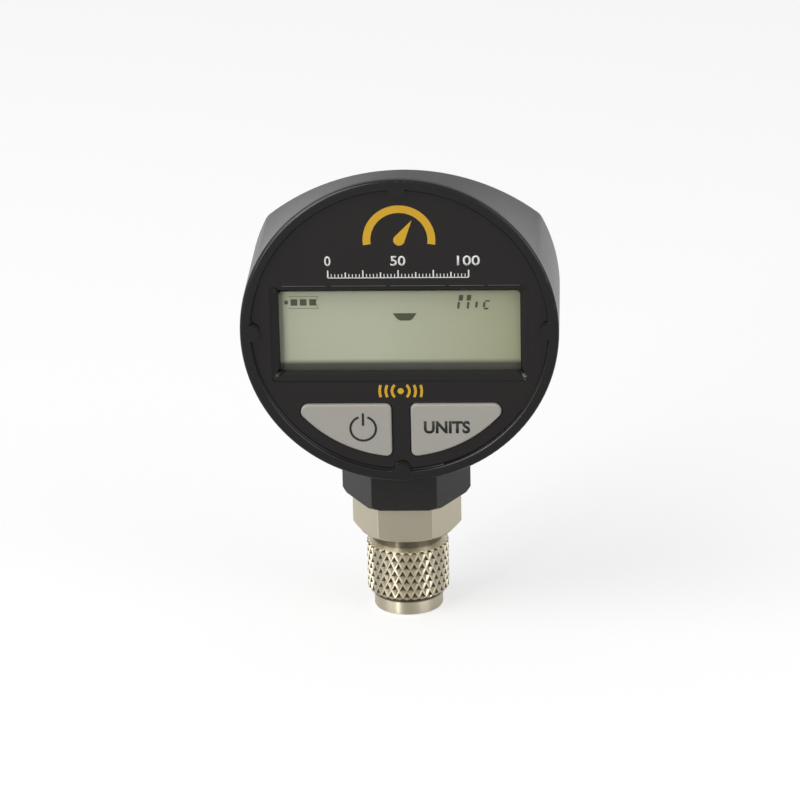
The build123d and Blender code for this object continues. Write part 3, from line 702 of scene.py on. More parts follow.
def rounded(piece: Piece, width: float, degrees: float) -> None:
    """Rounds the sharp edges of a piece with an applied bevel.

    Args:
        piece: Mesh piece.
        width: Width of the bevel in millimetres.
        degrees: Angle above which an edge counts as sharp.
    """
    select(piece)
    bevel = piece.modifiers.new("edge", "BEVEL")
    bevel.width = width * MM
    bevel.segments = 2
    bevel.limit_method = "ANGLE"
    bevel.angle_limit = math.radians(degrees)
    bevel.use_clamp_overlap = False
    bpy.ops.object.modifier_apply(modifier=bevel.name)


def evenly_shaded(piece: Piece) -> None:
    """Lets the large faces of a piece, and not its rounded edges, lead the shading.

    Args:
        piece: Mesh piece, shaded smooth.
    """
    select(piece)
    even = piece.modifiers.new("even_shade", "WEIGHTED_NORMAL")
    even.mode = "FACE_AREA"
    even.weight = 100
    even.keep_sharp = True
    bpy.ops.object.modifier_apply(modifier=even.name)


def dress(piece: Piece, finish: Finish) -> None:
    """Gives a piece one finish.

    Args:
        piece: The piece.
        finish: Its finish, built on its first use.
    """
    material = bpy.data.materials.get(finish.title) or finish.build()
    piece.data.materials.clear()
    piece.data.materials.append(material)


def dress_node(node: str, finish: Finish) -> None:
    """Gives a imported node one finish."""
    dress(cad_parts[node], finish)
    LOG.info("%s keeps its solid, finish %s", node, finish.name)


def mount(piece: Piece, finish: Finish, body: Body,
          replaced: Sequence[str] = ()) -> None:
    """Finishes a piece and sets it on its body.

    Args:
        piece: The piece.
        finish: Its finish.
        body: Body that it rides on.
        replaced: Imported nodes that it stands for.
    """
    dress(piece, finish)
    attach(piece, body.value)
    if replaced:
        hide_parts(*replaced)
    LOG.info("%s rides on %s, %d faces", piece.name, body.value, len(piece.data.polygons))


@dataclass(frozen=True)
class Moulding:
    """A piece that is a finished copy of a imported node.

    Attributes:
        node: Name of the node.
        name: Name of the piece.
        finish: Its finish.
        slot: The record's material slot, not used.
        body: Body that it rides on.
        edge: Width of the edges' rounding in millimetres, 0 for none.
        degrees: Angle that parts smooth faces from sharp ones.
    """

    node: str
    name: str
    finish: Finish
    slot: Slot
    body: Body = Body.GAUGE
    edge: float = 0.0
    degrees: float = SHARP

    def build(self) -> None:
        """Copies the node, frees flat faces of facets, rounds the edges and mounts the copy."""
        piece = linked(self.name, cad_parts[self.node].data.copy())
        weld(piece)
        edit_all()
        bpy.ops.mesh.dissolve_limited(angle_limit=COPLANAR)
        bpy.ops.object.mode_set(mode="OBJECT")
        if self.edge > 0:
            rounded(piece, self.edge, self.degrees)
        smooth(piece, self.degrees)
        evenly_shaded(piece)
        mount(piece, self.finish, self.body, [self.node])


# Places on the face

INK_THICKNESS = 0.03


@dataclass(frozen=True)
class Face:
    """Where the face lies: x and z run from its centre, and a depth runs back from the rim.

    Attributes:
        setback: Distance from the front rim back to the stem's axis, in millimetres.
        height: Height of the face's centre, in millimetres.
        label_depth: Depth of the label's front.
        key_depth: Depth of the keys' fronts.
        panel_depth: Depth of the display glass's front.
    """

    setback: float
    height: float
    label_depth: float
    key_depth: float
    panel_depth: float

    @classmethod
    def from_frame(cls) -> "Face":
        """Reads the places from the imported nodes.

        Returns:
            The face.
        """
        low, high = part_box("front_cover")
        setback = -low.y / MM
        nodes = ("face_label", "power_key", "lcd_panel")
        fronts = [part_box(node)[0].y / MM + setback for node in nodes]
        return cls(setback, (low.z + high.z) / 2 / MM, *fronts)

    def point(self, x: float, z: float, depth: float) -> Vector:
        """Returns a point on the face in metres, from millimetres."""
        return Vector((x, depth - self.setback, z + self.height)) * MM

    def lay(self, piece: Piece, depth: float) -> None:
        """Stands a flat piece, drawn in X and Y, parallel to the face.

        Args:
            piece: The piece.
            depth: Depth of its front.
        """
        select(piece)
        bpy.ops.object.convert(target="MESH")
        piece.rotation_euler = (math.radians(90), 0, 0)
        piece.location = self.point(0, 0, depth + INK_THICKNESS / 2)
        bpy.ops.object.transform_apply(location=True, rotation=True, scale=True)

    def mark(self, name: str, loops: Iterator[Loop], depth: float) -> Piece:
        """Makes a thin mark from closed outlines.

        Args:
            name: Name of the piece.
            loops: Outlines of (x, z) points in millimetres on the face.
            depth: Depth of its front.

        Returns:
            The mark as a mesh.
        """
        curve = bpy.data.curves.new(name, "CURVE")
        curve.dimensions = "2D"
        curve.fill_mode = "BOTH"
        curve.extrude = INK_THICKNESS / 2 * MM
        for loop in loops:
            spline = curve.splines.new("POLY")
            spline.points.add(len(loop) - 1)
            for point, (x, z) in zip(spline.points, loop):
                point.co = (x * MM, z * MM, 0, 1)
            spline.use_cyclic_u = True
        piece = linked(name, curve)
        self.lay(piece, depth)
        return piece

    def lettering(self, name: str, text: str, box: Box, depth: float, weight: float) -> Piece:
        """Makes plain lettering that fills a box.

        Args:
            name: Name of the piece.
            text: What it says.
            box: Left, right, low and high edge in millimetres.
            depth: Depth of its front.
            weight: Growth of each stroke, in parts of the letter's size.

        Returns:
            The lettering as a mesh.
        """
        deselect()
        bpy.ops.object.text_add()
        piece = bpy.context.object
        piece.name = name
        piece.data.body = text
        piece.data.offset = weight
        piece.data.resolution_u = 6
        bpy.ops.object.convert(target="MESH")
        left, right, low, high = box
        xs = [vertex.co.x for vertex in piece.data.vertices]
        ys = [vertex.co.y for vertex in piece.data.vertices]
        across = (right - left) * MM / (max(xs) - min(xs))
        up = (high - low) * MM / (max(ys) - min(ys))
        for vertex in piece.data.vertices:
            x = left * MM + (vertex.co.x - min(xs)) * across
            y = low * MM + (vertex.co.y - min(ys)) * up
            vertex.co = (x, y, INK_THICKNESS / 2 * MM)
        edit_all()
        back = (0, 0, -INK_THICKNESS * MM)
        bpy.ops.mesh.extrude_region_move(TRANSFORM_OT_translate={"value": back})
        bpy.ops.mesh.select_all(action="SELECT")
        bpy.ops.mesh.normals_make_consistent(inside=False)
        bpy.ops.object.mode_set(mode="OBJECT")
        self.lay(piece, depth)
        return piece


def bar(left: float, right: float, low: float, high: float, slant: float = 0.0) -> Loop:
    """Outline of an upright bar, leaning right by a slant for each millimetre of height."""
    lean = slant * (high - low)
    return [(left, low), (right, low), (right + lean, high), (left + lean, high)]


def arc(centre: Point, radius: float, start: float, end: float, steps: int) -> Loop:
    """Points along an arc.

    Args:
        centre: Centre of the arc.
        radius: Its radius.
        start: Angle where it starts, in degrees.
        end: Angle where it ends.
        steps: Steps along it.

    Returns:
        The points, one more than the steps.
    """
    x, z = centre
    angles = [math.radians(start + (end - start) * k / steps) for k in range(steps + 1)]
    return [(x + radius * math.cos(a), z + radius * math.sin(a)) for a in angles]


def arc_band(centre: Point, radii: Point, ends: Point, steps: int = 24) -> Loop:
    """Outline of a band between an inner and an outer arc, from one angle to another."""
    near, far = (arc(centre, radius, *ends, steps) for radius in radii)
    return far + near[::-1]


# Sub-assemblies


@dataclass
class Case:
    """Front cover, rear shell, battery door and their screws.

    Attributes:
        edge: Rounding of the shell's and the door's edges in millimetres.
        cover_angle: Angle above which the cover's faces part sharply, in degrees.
    """

    edge: float = 0.12
    cover_angle: float = 60.0

    def build(self) -> None:
        """Builds the housing's pieces."""
        Moulding("front_cover", "moulded_cover", COVER_PLASTIC, Slot.CASE,
                 degrees=self.cover_angle).build()
        Moulding("rear_shell", "moulded_shell", CASE_PLASTIC, Slot.CASE, edge=self.edge).build()
        Moulding("battery_door", "moulded_door", CASE_PLASTIC, Slot.CASE, edge=self.edge).build()
        dress_node("case_screws", SCREW_STEEL)
        dress_node("case_gasket", SEAL)


@dataclass
class FacePrint:
    """The glossy label with its generic print: a dial sign, a numbered scale and a radio sign, and
    a painted highlight along its edge above the display.

    Sizes are in millimetres and angles in degrees.

    Attributes:
        dial_centre: Hub of the dial sign.
        dial_radii: Inner and outer radius of the dial sign's arc.
        dial_ends: Angles where the arc ends.
        hub_radius: Radius of the needle's hub.
        hub_ends: Angles off the needle where its sides leave the hub.
        needle_length: Distance from the hub's centre to the needle's tip.
        needle_angle: Angle of the needle.
        scale_half: Half the length of the scale.
        scale_base: Height of the scale's foot.
        scale_line: Thickness of the scale's foot.
        line_gap: Gap between the foot and the ticks, which keeps their outlines apart.
        ticks: Ticks on each side of the middle.
        tick: Height of a short tick.
        tick_factors: Height of each tenth, each fifth and each other tick, in short ticks.
        tick_halves: Half the width of each fifth and of each other tick.
        numbers: Each number, its middle in parts of the scale's half, and half its width.
        number_span: Heights of the numbers' feet and heads.
        number_weight: Growth of the numbers' strokes.
        sign_height: Height of the radio sign.
        sign_dot: Radius of its dot.
        sign_waves: Radii of its waves.
        wave_half: Half the thickness of a wave.
        wave_reach: Half the height of a wave.
        highlight_span: Heights of the painted highlight along the label's edge above the display.
        highlight_stretches: Ends of the stretches where that painted highlight shows.
    """

    dial_centre: Point = (0.3, 18.6)
    dial_radii: Point = (5.5, 7.0)
    dial_ends: Point = (-8, 188)
    hub_radius: float = 1.1
    hub_ends: Point = (70, 290)
    needle_length: float = 4.7
    needle_angle: float = 58.0
    scale_half: float = 13.6
    scale_base: float = 10.9
    scale_line: float = 0.16
    line_gap: float = 0.02
    ticks: int = 20
    tick: float = 0.85
    tick_factors: tuple[float, float, float] = (1.9, 1.4, 1.0)
    tick_halves: Point = (0.13, 0.08)
    numbers: tuple[tuple[str, float, float], ...] = (
        ("0", -1, 0.6), ("50", 0, 1.45), ("100", 1, 2.2),
    )
    number_span: Point = (13.4, 15.4)
    number_weight: float = 0.012
    sign_height: float = -12.4
    sign_dot: float = 0.62
    sign_waves: tuple[float, ...] = (1.7, 2.9, 4.1)
    wave_half: float = 0.26
    wave_reach: float = 1.25
    highlight_span: Point = (9.28, 9.37)
    highlight_stretches: tuple[Point, ...] = (
        (-22.6, -14.0), (-13.0, -2.4), (-1.6, 9.0), (9.8, 16.5), (17.4, 23.4),
    )

    def dial(self) -> Iterator[Loop]:
        """Yields the outline of the dial sign's arc."""
        yield arc_band(self.dial_centre, self.dial_radii, self.dial_ends, 60)

    def needle(self) -> Iterator[Loop]:
        """Draws the dial sign's hub, drawn out into its needle.

        Yields:
            The one outline of both.
        """
        x, z = self.dial_centre
        ends = [self.needle_angle + end for end in self.hub_ends]
        angle = math.radians(self.needle_angle)
        tip = (x + self.needle_length * math.cos(angle), z + self.needle_length * math.sin(angle))
        yield arc(self.dial_centre, self.hub_radius, *ends, 30) + [tip]

    def scale(self) -> Iterator[Loop]:
        """Draws the scale.

        Yields:
            The outline of its foot, and then of each tick.
        """
        foot = self.scale_base + self.scale_line
        yield bar(-self.scale_half, self.scale_half, self.scale_base, foot)
        tenth, fifth, other = self.tick_factors
        for k in range(-self.ticks, self.ticks + 1):
            middle = k * self.scale_half / self.ticks
            half = self.tick_halves[0 if k % 5 == 0 else 1]
            tall = self.tick * (tenth if k % 10 == 0 else fifth if k % 5 == 0 else other)
            yield bar(middle - half, middle + half, foot + self.line_gap, self.scale_base + tall)

    def radio(self) -> Iterator[Loop]:
        """Draws the radio sign.

        Yields:
            The outline of its dot, and then of each wave on both sides.
        """
        centre = (0.0, self.sign_height)
        yield arc(centre, self.sign_dot, 0, 360, 28)[:-1]
        for radius in self.sign_waves:
            reach = math.degrees(math.asin(self.wave_reach / radius))
            radii = (radius - self.wave_half, radius + self.wave_half)
            for facing in (0, 180):
                yield arc_band(centre, radii, (facing - reach, facing + reach))

    def edge_highlight(self) -> Iterator[Loop]:
        """Yields short stretches of painted highlight along the label's edge above the display."""
        for left, right in self.highlight_stretches:
            yield bar(left, right, *self.highlight_span)

    def build(self, face: Face) -> None:
        """Builds the label's print and the painted highlight along its edge.

        Args:
            face: The face that it lies on.
        """
        dress_node("face_label", LABEL_FILM)
        front = face.label_depth - INK_THICKNESS / 2
        for name, outlines, ink in (
            ("dial_sign", self.dial, INK_YELLOW),
            ("dial_needle", self.needle, INK_YELLOW),
            ("scale_ticks", self.scale, INK_WHITE),
            ("radio_sign", self.radio, INK_YELLOW),
            # painted highlight along the label's edge above the display
            ("label_edge_highlight", self.edge_highlight, EDGE_HIGHLIGHT),
        ):
            mount(face.mark(name, outlines(), front), ink, Body.GAUGE)
        for text, place, half in self.numbers:
            middle = place * self.scale_half
            box = (middle - half, middle + half, *self.number_span)
            name = f"scale_number_{text}"
            number = face.lettering(name, text, box, front, self.number_weight)
            mount(number, INK_WHITE, Body.GAUGE)


@dataclass
class Display:
    """Display glass with its segments behind the clear pane.

    Sizes are in millimetres, and a box is a left, right, low and high edge.

    Attributes:
        gap: Distance of the segments in front of the glass.
        nub: Box of the battery sign's nub.
        charge_lefts: Left edges of its charge bars.
        charge_width: Width of a charge bar.
        charge_span: Heights of a charge bar's two ends.
        battery_box: Box of the thin outline round the bars.
        battery_line: Thickness of that outline.
        notch: Depth of the notch at its right end.
        notch_half: Half the opening at the notch's point.
        line_gap: Gap that keeps the outline's strokes apart.
        marker: Corners of the marker in the middle.
        unit_bars: Boxes of the unit letters' segments.
        slant: Lean of the unit letters.
        foot_shade: Heights over the glass's foot between which its shade fades.
        top_edge: Depths under the glass's top between which its painted highlight sets in.
    """

    gap: float = 0.04
    nub: Box = (-22.4, -21.75, 4.55, 5.35)
    charge_lefts: tuple[float, ...] = (-21.2, -19.4, -17.55)
    charge_width: float = 1.3
    charge_span: Point = (4.3, 5.6)
    battery_box: Box = (-21.65, -15.75, 3.65, 6.2)
    battery_line: float = 0.14
    notch: float = 0.5
    notch_half: float = 0.1
    line_gap: float = 0.02
    marker: tuple[Point, ...] = (
        (-1.4, 2.6), (3.3, 2.6), (2.5, 1.45), (1.95, 1.1), (0.05, 1.1), (-0.55, 1.45),
    )
    unit_bars: tuple[Box, ...] = (
        (11.15, 11.6, 3.5, 4.85), (11.45, 12.3, 5.15, 6.3),
        (13.0, 13.45, 3.5, 4.85), (13.0, 13.85, 5.15, 6.3),
        (14.65, 15.1, 3.7, 4.9),
        (16.15, 16.6, 3.75, 4.8), (16.65, 17.5, 4.9, 5.2), (16.35, 17.2, 3.3, 3.65),
    )
    slant: float = 0.12
    foot_shade: Point = (2.0, 3.0)
    top_edge: Point = (1.0, 0.6)

    def battery(self) -> Iterator[Loop]:
        """Draws the battery sign.

        Yields:
            The outline of its nub, and then of each charge bar.
        """
        yield bar(*self.nub)
        for left in self.charge_lefts:
            yield bar(left, left + self.charge_width, *self.charge_span)

    def battery_outline(self) -> Iterator[Loop]:
        """Draws the thin outline round the charge bars, open at the left, notched at the right.

        Yields:
            The outlines of its lower, upper and two notched strokes.
        """
        left, right, low, high = self.battery_box
        line, notch = self.battery_line, self.notch
        middle, inset = (low + high) / 2, self.battery_line + self.line_gap
        yield bar(left, right, low, low + line)
        yield bar(left, right, high - line, high)
        for end, near in ((low + inset, middle - self.notch_half),
                          (high - inset, middle + self.notch_half)):
            yield [(right - line, end), (right, end), (right - notch, near),
                   (right - notch - line, near)]

    def marker_outline(self) -> Iterator[Loop]:
        """Yields the outline of the marker in the middle."""
        yield list(self.marker)

    def unit(self) -> Iterator[Loop]:
        """Yields the segments of the unit's letters."""
        for box in self.unit_bars:
            yield bar(*box, self.slant)

    def build(self, face: Face) -> None:
        """Builds the display.

        Args:
            face: The face that it lies on.
        """
        low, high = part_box("lcd_panel")
        glass = DisplayGlass(
            "display_glass", Colour(191, 194, 169), Colour(189, 192, 167),
            gloss=(0.5, 0.6), grain=900, depth=0.5,
            foot_span=tuple(low.z + shade * MM for shade in self.foot_shade),
            top_span=tuple(high.z - edge * MM for edge in self.top_edge),
        )
        dress_node("lcd_panel", glass)
        dress_node("display_window", PANE)
        dress_node("lcd_holder", CHIP_BLACK)
        dress_node("lcd_connector", STRIP)
        front = face.panel_depth - self.gap
        for name, outlines, ink in (
            ("battery_bars", self.battery, SEGMENT_INK),
            ("battery_frame", self.battery_outline, SEGMENT_FAINT),
            ("marker_segment", self.marker_outline, SEGMENT_INK),
            ("unit_segments", self.unit, SEGMENT_INK),
        ):
            mount(face.mark(name, outlines(), front), ink, Body.GAUGE)


@dataclass
class Keys:
    """The two silicone keys with their legends and carbon pills.

    Sizes are in millimetres and angles in degrees.

    Attributes:
        edge: Rounding of the keys' edges.
        sign_centre: Centre of the standby sign.
        sign_radius: Mean radius of its ring.
        ring_ends: Angles where the ring ends.
        bar_span: Heights of its bar's two ends above the centre.
        stroke: Width of its strokes.
        legend: What the other key says.
        legend_box: Left, right, low and high edge of that legend.
        legend_weight: Growth of the legend's strokes, in parts of the letter's size.
    """

    edge: float = 0.05
    sign_centre: Point = (-7.47, -19.96)
    sign_radius: float = 2.5
    ring_ends: Point = (110, 430)
    bar_span: Point = (0.6, 3.2)
    stroke: float = 0.46
    legend: str = "UNITS"
    legend_box: Box = (4.4, 13.45, -21.05, -18.42)
    legend_weight: float = 0.036

    def standby(self) -> Iterator[Loop]:
        """Draws the standby sign.

        Yields:
            The outlines of its open ring and its bar.
        """
        half = self.stroke / 2
        radii = (self.sign_radius - half, self.sign_radius + half)
        yield arc_band(self.sign_centre, radii, self.ring_ends, 60)
        x, z = self.sign_centre
        yield bar(x - half, x + half, *(z + end for end in self.bar_span))

    def build(self, face: Face) -> None:
        """Builds the keys.

        Args:
            face: The face that they stand proud of.
        """
        for side, body in (("power", Body.POWER_KEY), ("units", Body.UNITS_KEY)):
            Moulding(f"{side}_key", f"{side}_key_cap", KEY_SILICONE, Slot.KEY, body,
                     self.edge).build()
            dress_node(f"{side}_pill", CARBON)
        front = face.key_depth - INK_THICKNESS / 2
        sign = face.mark("standby_sign", self.standby(), front)
        mount(sign, INK_BLACK, Body.POWER_KEY)
        legend = face.lettering("units_legend", self.legend, self.legend_box, front,
                                self.legend_weight)
        mount(legend, INK_BLACK, Body.UNITS_KEY)


@dataclass
class Stem:
    """Black collar and nickel sensor body with what they hold.

    Attributes:
        collar_edge: Rounding of the collar's edges in millimetres.
        body_edge: Rounding of the sensor body's edges in millimetres.
        body_angle: Angle above which the body's faces part sharply, in degrees.
        finishes: Finish of each inner piece.
    """

    collar_edge: float = 0.15
    body_edge: float = 0.18
    body_angle: float = 25.0
    finishes: dict[str, Finish] = field(default_factory=lambda: {
        "collar_gasket": SEAL,
        "sensor_oring": SEAL,
        "sensor_header": HEADER,
        "thermistor_bead": BEAD,
        "sensor_board": BOARD,
        "sensor_flex": FLEX,
        "lock_washer": SPRING_STEEL,
        "lock_nut": STEM_NICKEL,
        "flare_gasket": COPPER,
        "depressor": STEM_NICKEL,
        "nut_ring": SPRING_STEEL,
    })

    def build(self) -> None:
        """Builds the stem's pieces."""
        Moulding("hex_collar", "collar", COLLAR_BLACK, Slot.COLLAR, edge=self.collar_edge).build()
        Moulding("sensor_body", "hexagon_body", STEM_NICKEL, Slot.STEM, edge=self.body_edge,
                 degrees=self.body_angle).build()
        for node, finish in self.finishes.items():
            dress_node(node, finish)


@dataclass
class SwivelNut:
    """Turned nut with sunken diamonds between crossed ridges, and a thread in its mouth.

    Sizes are in millimetres, angles in degrees, and heights start at the mouth.

    Attributes:
        teeth: Diamonds round the band.
        cells: Steps across one diamond.
        knurl_angle: Angle of the ridges off the stem's axis.
        ridge: Half width of a ridge, in parts of the pitch.
        floor: Where the pit's floor begins, in parts of the pitch off the ridge's middle.
        pit_depth: Depth of a pit.
        knurl_radius: Radius over the ridges.
        collar_radius: Radius of the plain ends.
        band: Heights of the band's two ends.
        bevel_low: Height where the lower bevel meets the full radius.
        bevel_high: Height where the upper bevel leaves the full radius.
        top: Height of the nut.
        lip: Width of the chamfer on the outer edges.
        lip_round: Share of the lip that its middle step takes.
        thread_minor: Radius of the thread's crests.
        thread_depth: Depth of the thread.
        thread_pitch: Pitch of the thread.
        thread_span: Heights of the thread's two ends.
        thread_flank: Steepness of the thread's flanks, in depths for each pitch.
        thread_crest: Part of the depth that the flat crests take off the flanks.
        thread_fade: Height over which the thread runs out.
        thread_rows: Steps up the thread.
        mouth_chamfer: Chamfer of the mouth.
        relief_radius: Radius of the relief over the thread.
        relief_span: Heights over the thread's end and under the relief's end of its two cones.
        relief_end: Height of the relief's end.
        tail_radius: Radius of the bore round the stem's tail.
        ring_groove: Radius and heights of the spring ring's groove.
        weld_gap: Largest gap that is closed between the nut's parts.
        smooth_angle: Angle below which its faces are shaded smooth.
    """

    teeth: int = 32
    cells: int = 12
    knurl_angle: float = 27.7
    ridge: float = 0.10
    floor: float = 0.47
    pit_depth: float = 0.72
    knurl_radius: float = 8.26
    collar_radius: float = 6.95
    band: Point = (2.65, 14.55)
    bevel_low: float = 4.1
    bevel_high: float = 14.0
    top: float = 16.2
    lip: float = 0.35
    lip_round: float = 0.3
    thread_minor: float = 4.92
    thread_depth: float = 0.55
    thread_pitch: float = 1.27
    thread_span: Point = (0.5, 8.0)
    thread_flank: float = 2.5
    thread_crest: float = 0.15
    thread_fade: float = 0.5
    thread_rows: int = 60
    mouth_chamfer: float = 0.4
    relief_radius: float = 5.7
    relief_span: Point = (0.4, 0.6)
    relief_end: float = 10.4
    tail_radius: float = 4.18
    ring_groove: tuple[float, float, float] = (4.95, 12.6, 14.2)
    weld_gap: float = 0.004
    smooth_angle: float = 34.0

    @property
    def columns(self) -> int:
        """Steps round the nut."""
        return self.teeth * self.cells

    @property
    def rows(self) -> int:
        """Works out the steps up the band.

        Returns:
            The steps with which the ridges keep their angle.
        """
        pitch = 2 * math.pi * self.knurl_radius / self.teeth
        rise = pitch / math.tan(math.radians(self.knurl_angle))
        return round((self.band[1] - self.band[0]) / rise * self.cells)

    def knurled(self, turn: float, height: float) -> float:
        """Works out the radius of the band.

        Args:
            turn: Place round the nut, 0 to 1.
            height: Height above the mouth.

        Returns:
            The radius, with ridges, pits and both bevels.
        """
        foot, head = self.band
        step = (height - foot) / (head - foot) * self.rows / self.cells
        strands = (turn * self.teeth + step, turn * self.teeth - step)
        nearest = min(abs(strand - round(strand)) for strand in strands)
        pit = min(1.0, max(0.0, (nearest - self.ridge) / (self.floor - self.ridge)))
        rise = self.knurl_radius - self.collar_radius
        low = self.collar_radius + rise * (height - foot) / (self.bevel_low - foot)
        high = self.collar_radius + rise * (head - height) / (head - self.bevel_high)
        return max(self.collar_radius, min(self.knurl_radius - self.pit_depth * pit, low, high))

    def threaded(self, turn: float, height: float) -> float:
        """Works out the radius of the thread.

        Args:
            turn: Place round the nut, 0 to 1.
            height: Height above the mouth.

        Returns:
            The radius, which fades to the crests' at both ends.
        """
        low, high = self.thread_span
        phase = (height / self.thread_pitch - turn) % 1.0
        groove = (0.5 - abs(phase - 0.5)) * self.thread_flank - self.thread_crest
        inside = min(height - low, high - height) / self.thread_fade
        cut, fade = (min(1.0, max(0.0, share)) for share in (groove, inside))
        return self.thread_minor + self.thread_depth * cut * fade

    def wrapped(self, name: str, rows: int, span: Point, radius: Callable[[float, float], float],
                diagonals: bool = False) -> Piece:
        """Wraps a flat grid round the stem.

        Args:
            name: Name of the piece.
            rows: Steps up the grid.
            span: Heights of its two ends.
            radius: Radius at a turn and a height.
            diagonals: Whether cells get both diagonals, for edges that run across the grid.

        Returns:
            The wrapped grid.
        """
        deselect()
        bpy.ops.mesh.primitive_grid_add(x_subdivisions=self.columns, y_subdivisions=rows, size=2)
        piece = bpy.context.object
        piece.name = name
        if diagonals:
            edit_all()
            bpy.ops.mesh.poke()
            bpy.ops.object.mode_set(mode="OBJECT")
        for vertex in piece.data.vertices:
            turn = (vertex.co.x + 1) / 2
            height = span[0] + (span[1] - span[0]) * (vertex.co.y + 1) / 2
            reach = radius(turn, height)
            angle = 2 * math.pi * turn
            vertex.co = Vector((reach * math.cos(angle), reach * math.sin(angle), height)) * MM
        return piece

    def spun(self, name: str, profile: Sequence[Point]) -> Piece:
        """Spins a profile round the stem.

        Args:
            name: Name of the piece.
            profile: Its (radius, height) points.

        Returns:
            The spun piece.
        """
        mesh = bpy.data.meshes.new(name)
        points = [(radius * MM, 0, height * MM) for radius, height in profile]
        mesh.from_pydata(points, [(k, k + 1) for k in range(len(points) - 1)], [])
        piece = select(linked(name, mesh))
        edit_all()
        bpy.ops.mesh.spin(steps=self.columns, angle=2 * math.pi, center=(0, 0, 0), axis=(0, 0, 1))
        bpy.ops.object.mode_set(mode="OBJECT")
        return piece

    def outside(self) -> list[Point]:
        """Draws the nut's lower end.

        Returns:
            The profile from the thread's foot, round the mouth, up to the band.
        """
        step = self.lip * self.lip_round
        return [
            (self.thread_minor, self.thread_span[0]),
            (self.thread_minor + self.mouth_chamfer, 0.0),
            (self.collar_radius - self.lip, 0.0),
            (self.collar_radius - step, step),
            (self.collar_radius, self.lip),
            (self.collar_radius, self.band[0]),
        ]

    def inside(self) -> list[Point]:
        """Draws the nut's upper end and its bore.

        Returns:
            The profile from the band, over the top, down the bore to the thread.
        """
        groove, groove_low, groove_high = self.ring_groove
        over, under = self.relief_span
        return [
            (self.collar_radius, self.band[1]),
            (self.collar_radius, self.top - self.lip),
            (self.collar_radius - self.lip, self.top),
            (self.tail_radius, self.top),
            (self.tail_radius, groove_high),
            (groove, groove_high),
            (groove, groove_low),
            (self.tail_radius, groove_low),
            (self.tail_radius, self.relief_end),
            (self.relief_radius, self.relief_end - under),
            (self.relief_radius, self.thread_span[1] + over),
            (self.thread_minor, self.thread_span[1]),
        ]

    def build(self) -> None:
        """Builds the nut from its band, its thread and its turned ends."""
        parts = [
            self.wrapped("knurl", self.rows, self.band, self.knurled, diagonals=True),
            self.wrapped("thread", self.thread_rows, self.thread_span, self.threaded),
            self.spun("mouth", self.outside()),
            self.spun("neck", self.inside()),
        ]
        deselect()
        for part in parts:
            part.select_set(True)
        bpy.context.view_layer.objects.active = parts[0]
        bpy.ops.object.join()
        nut = bpy.context.object
        nut.name = "swivel_nut_turned"
        weld(nut, self.weld_gap * MM, outward=True)
        smooth(nut, self.smooth_angle)
        mount(nut, NUT_NICKEL, Body.NUT, ["knurled_nut"])


@dataclass
class Electronics:
    """Board, chips, sensor socket, cells and contacts inside the case.

    Attributes:
        finishes: Finish of each piece.
    """

    finishes: dict[str, Finish] = field(default_factory=lambda: {
        "keypad_mat": MAT_RUBBER,
        "key_contacts": PAD_GOLD,
        "main_board": BOARD,
        "board_screws": SCREW_STEEL,
        "controller_chip": CHIP_BLACK,
        "radio_board": BOARD,
        "radio_shield": TIN_PLATE,
        "crystal": TIN_PLATE,
        "capacitors": CERAMIC,
        "sensor_socket": SOCKET,
        "cell_1": JACKET,
        "cell_2": JACKET_BACK,
        "contact_bridge": SPRING_STEEL,
        "contact_positive": SPRING_STEEL,
        "contact_negative": SPRING_STEEL,
    })

    def build(self) -> None:
        """Gives each inner piece its finish."""
        for node, finish in self.finishes.items():
            dress_node(node, finish)


@dataclass
class PhotoCamera:
    """Camera at the photograph's angle.

    Attributes:
        place: Where the camera stands, in metres.
        target: Point at the middle of the picture, in metres.
        roll: Turn of the picture in degrees.
        lens: Focal length in millimetres.
        sensor: Width of the sensor in millimetres.
        nearest: Distance from which the camera sees, in metres.
    """

    place: tuple[float, float, float] = (0.03507, -0.71597, 0.31602)
    target: tuple[float, float, float] = (-0.00011, -0.0167, 0.05019)
    roll: float = -1.27
    lens: float = 172.94
    sensor: float = 36.0
    nearest: float = 0.01

    def build(self) -> None:
        """Places the camera."""
        data = bpy.data.cameras.new("photo_camera")
        data.lens = self.lens
        data.sensor_width = self.sensor
        data.clip_start = self.nearest
        camera = linked("photo_camera", data)
        camera.location = self.place
        look = (Vector(self.target) - Vector(self.place)).to_track_quat("-Z", "Y")
        roll = Euler((0, 0, math.radians(self.roll))).to_quaternion()
        camera.rotation_euler = (look @ roll).to_euler()
        bpy.context.scene.camera = camera


@dataclass(frozen=True)
class Lamp:
    """Soft rectangular lamp that points at the gauge.

    Attributes:
        name: Name of the lamp.
        place: Where it hangs, in metres.
        size: Width and height of the lamp in metres.
        power: Power in watts.
        target: Point that it faces, in metres.
    """

    name: str
    place: tuple[float, float, float]
    size: Point
    power: float
    target: tuple[float, float, float] = (0, 0, 0.05)

    def build(self) -> None:
        """Hangs the lamp."""
        data = bpy.data.lights.new(self.name, "AREA")
        data.shape = "RECTANGLE"
        data.size, data.size_y = self.size
        data.energy = self.power
        lamp = linked(self.name, data)
        lamp.location = self.place
        look = Vector(self.target) - Vector(self.place)
        lamp.rotation_euler = look.to_track_quat("-Z", "Y").to_euler()


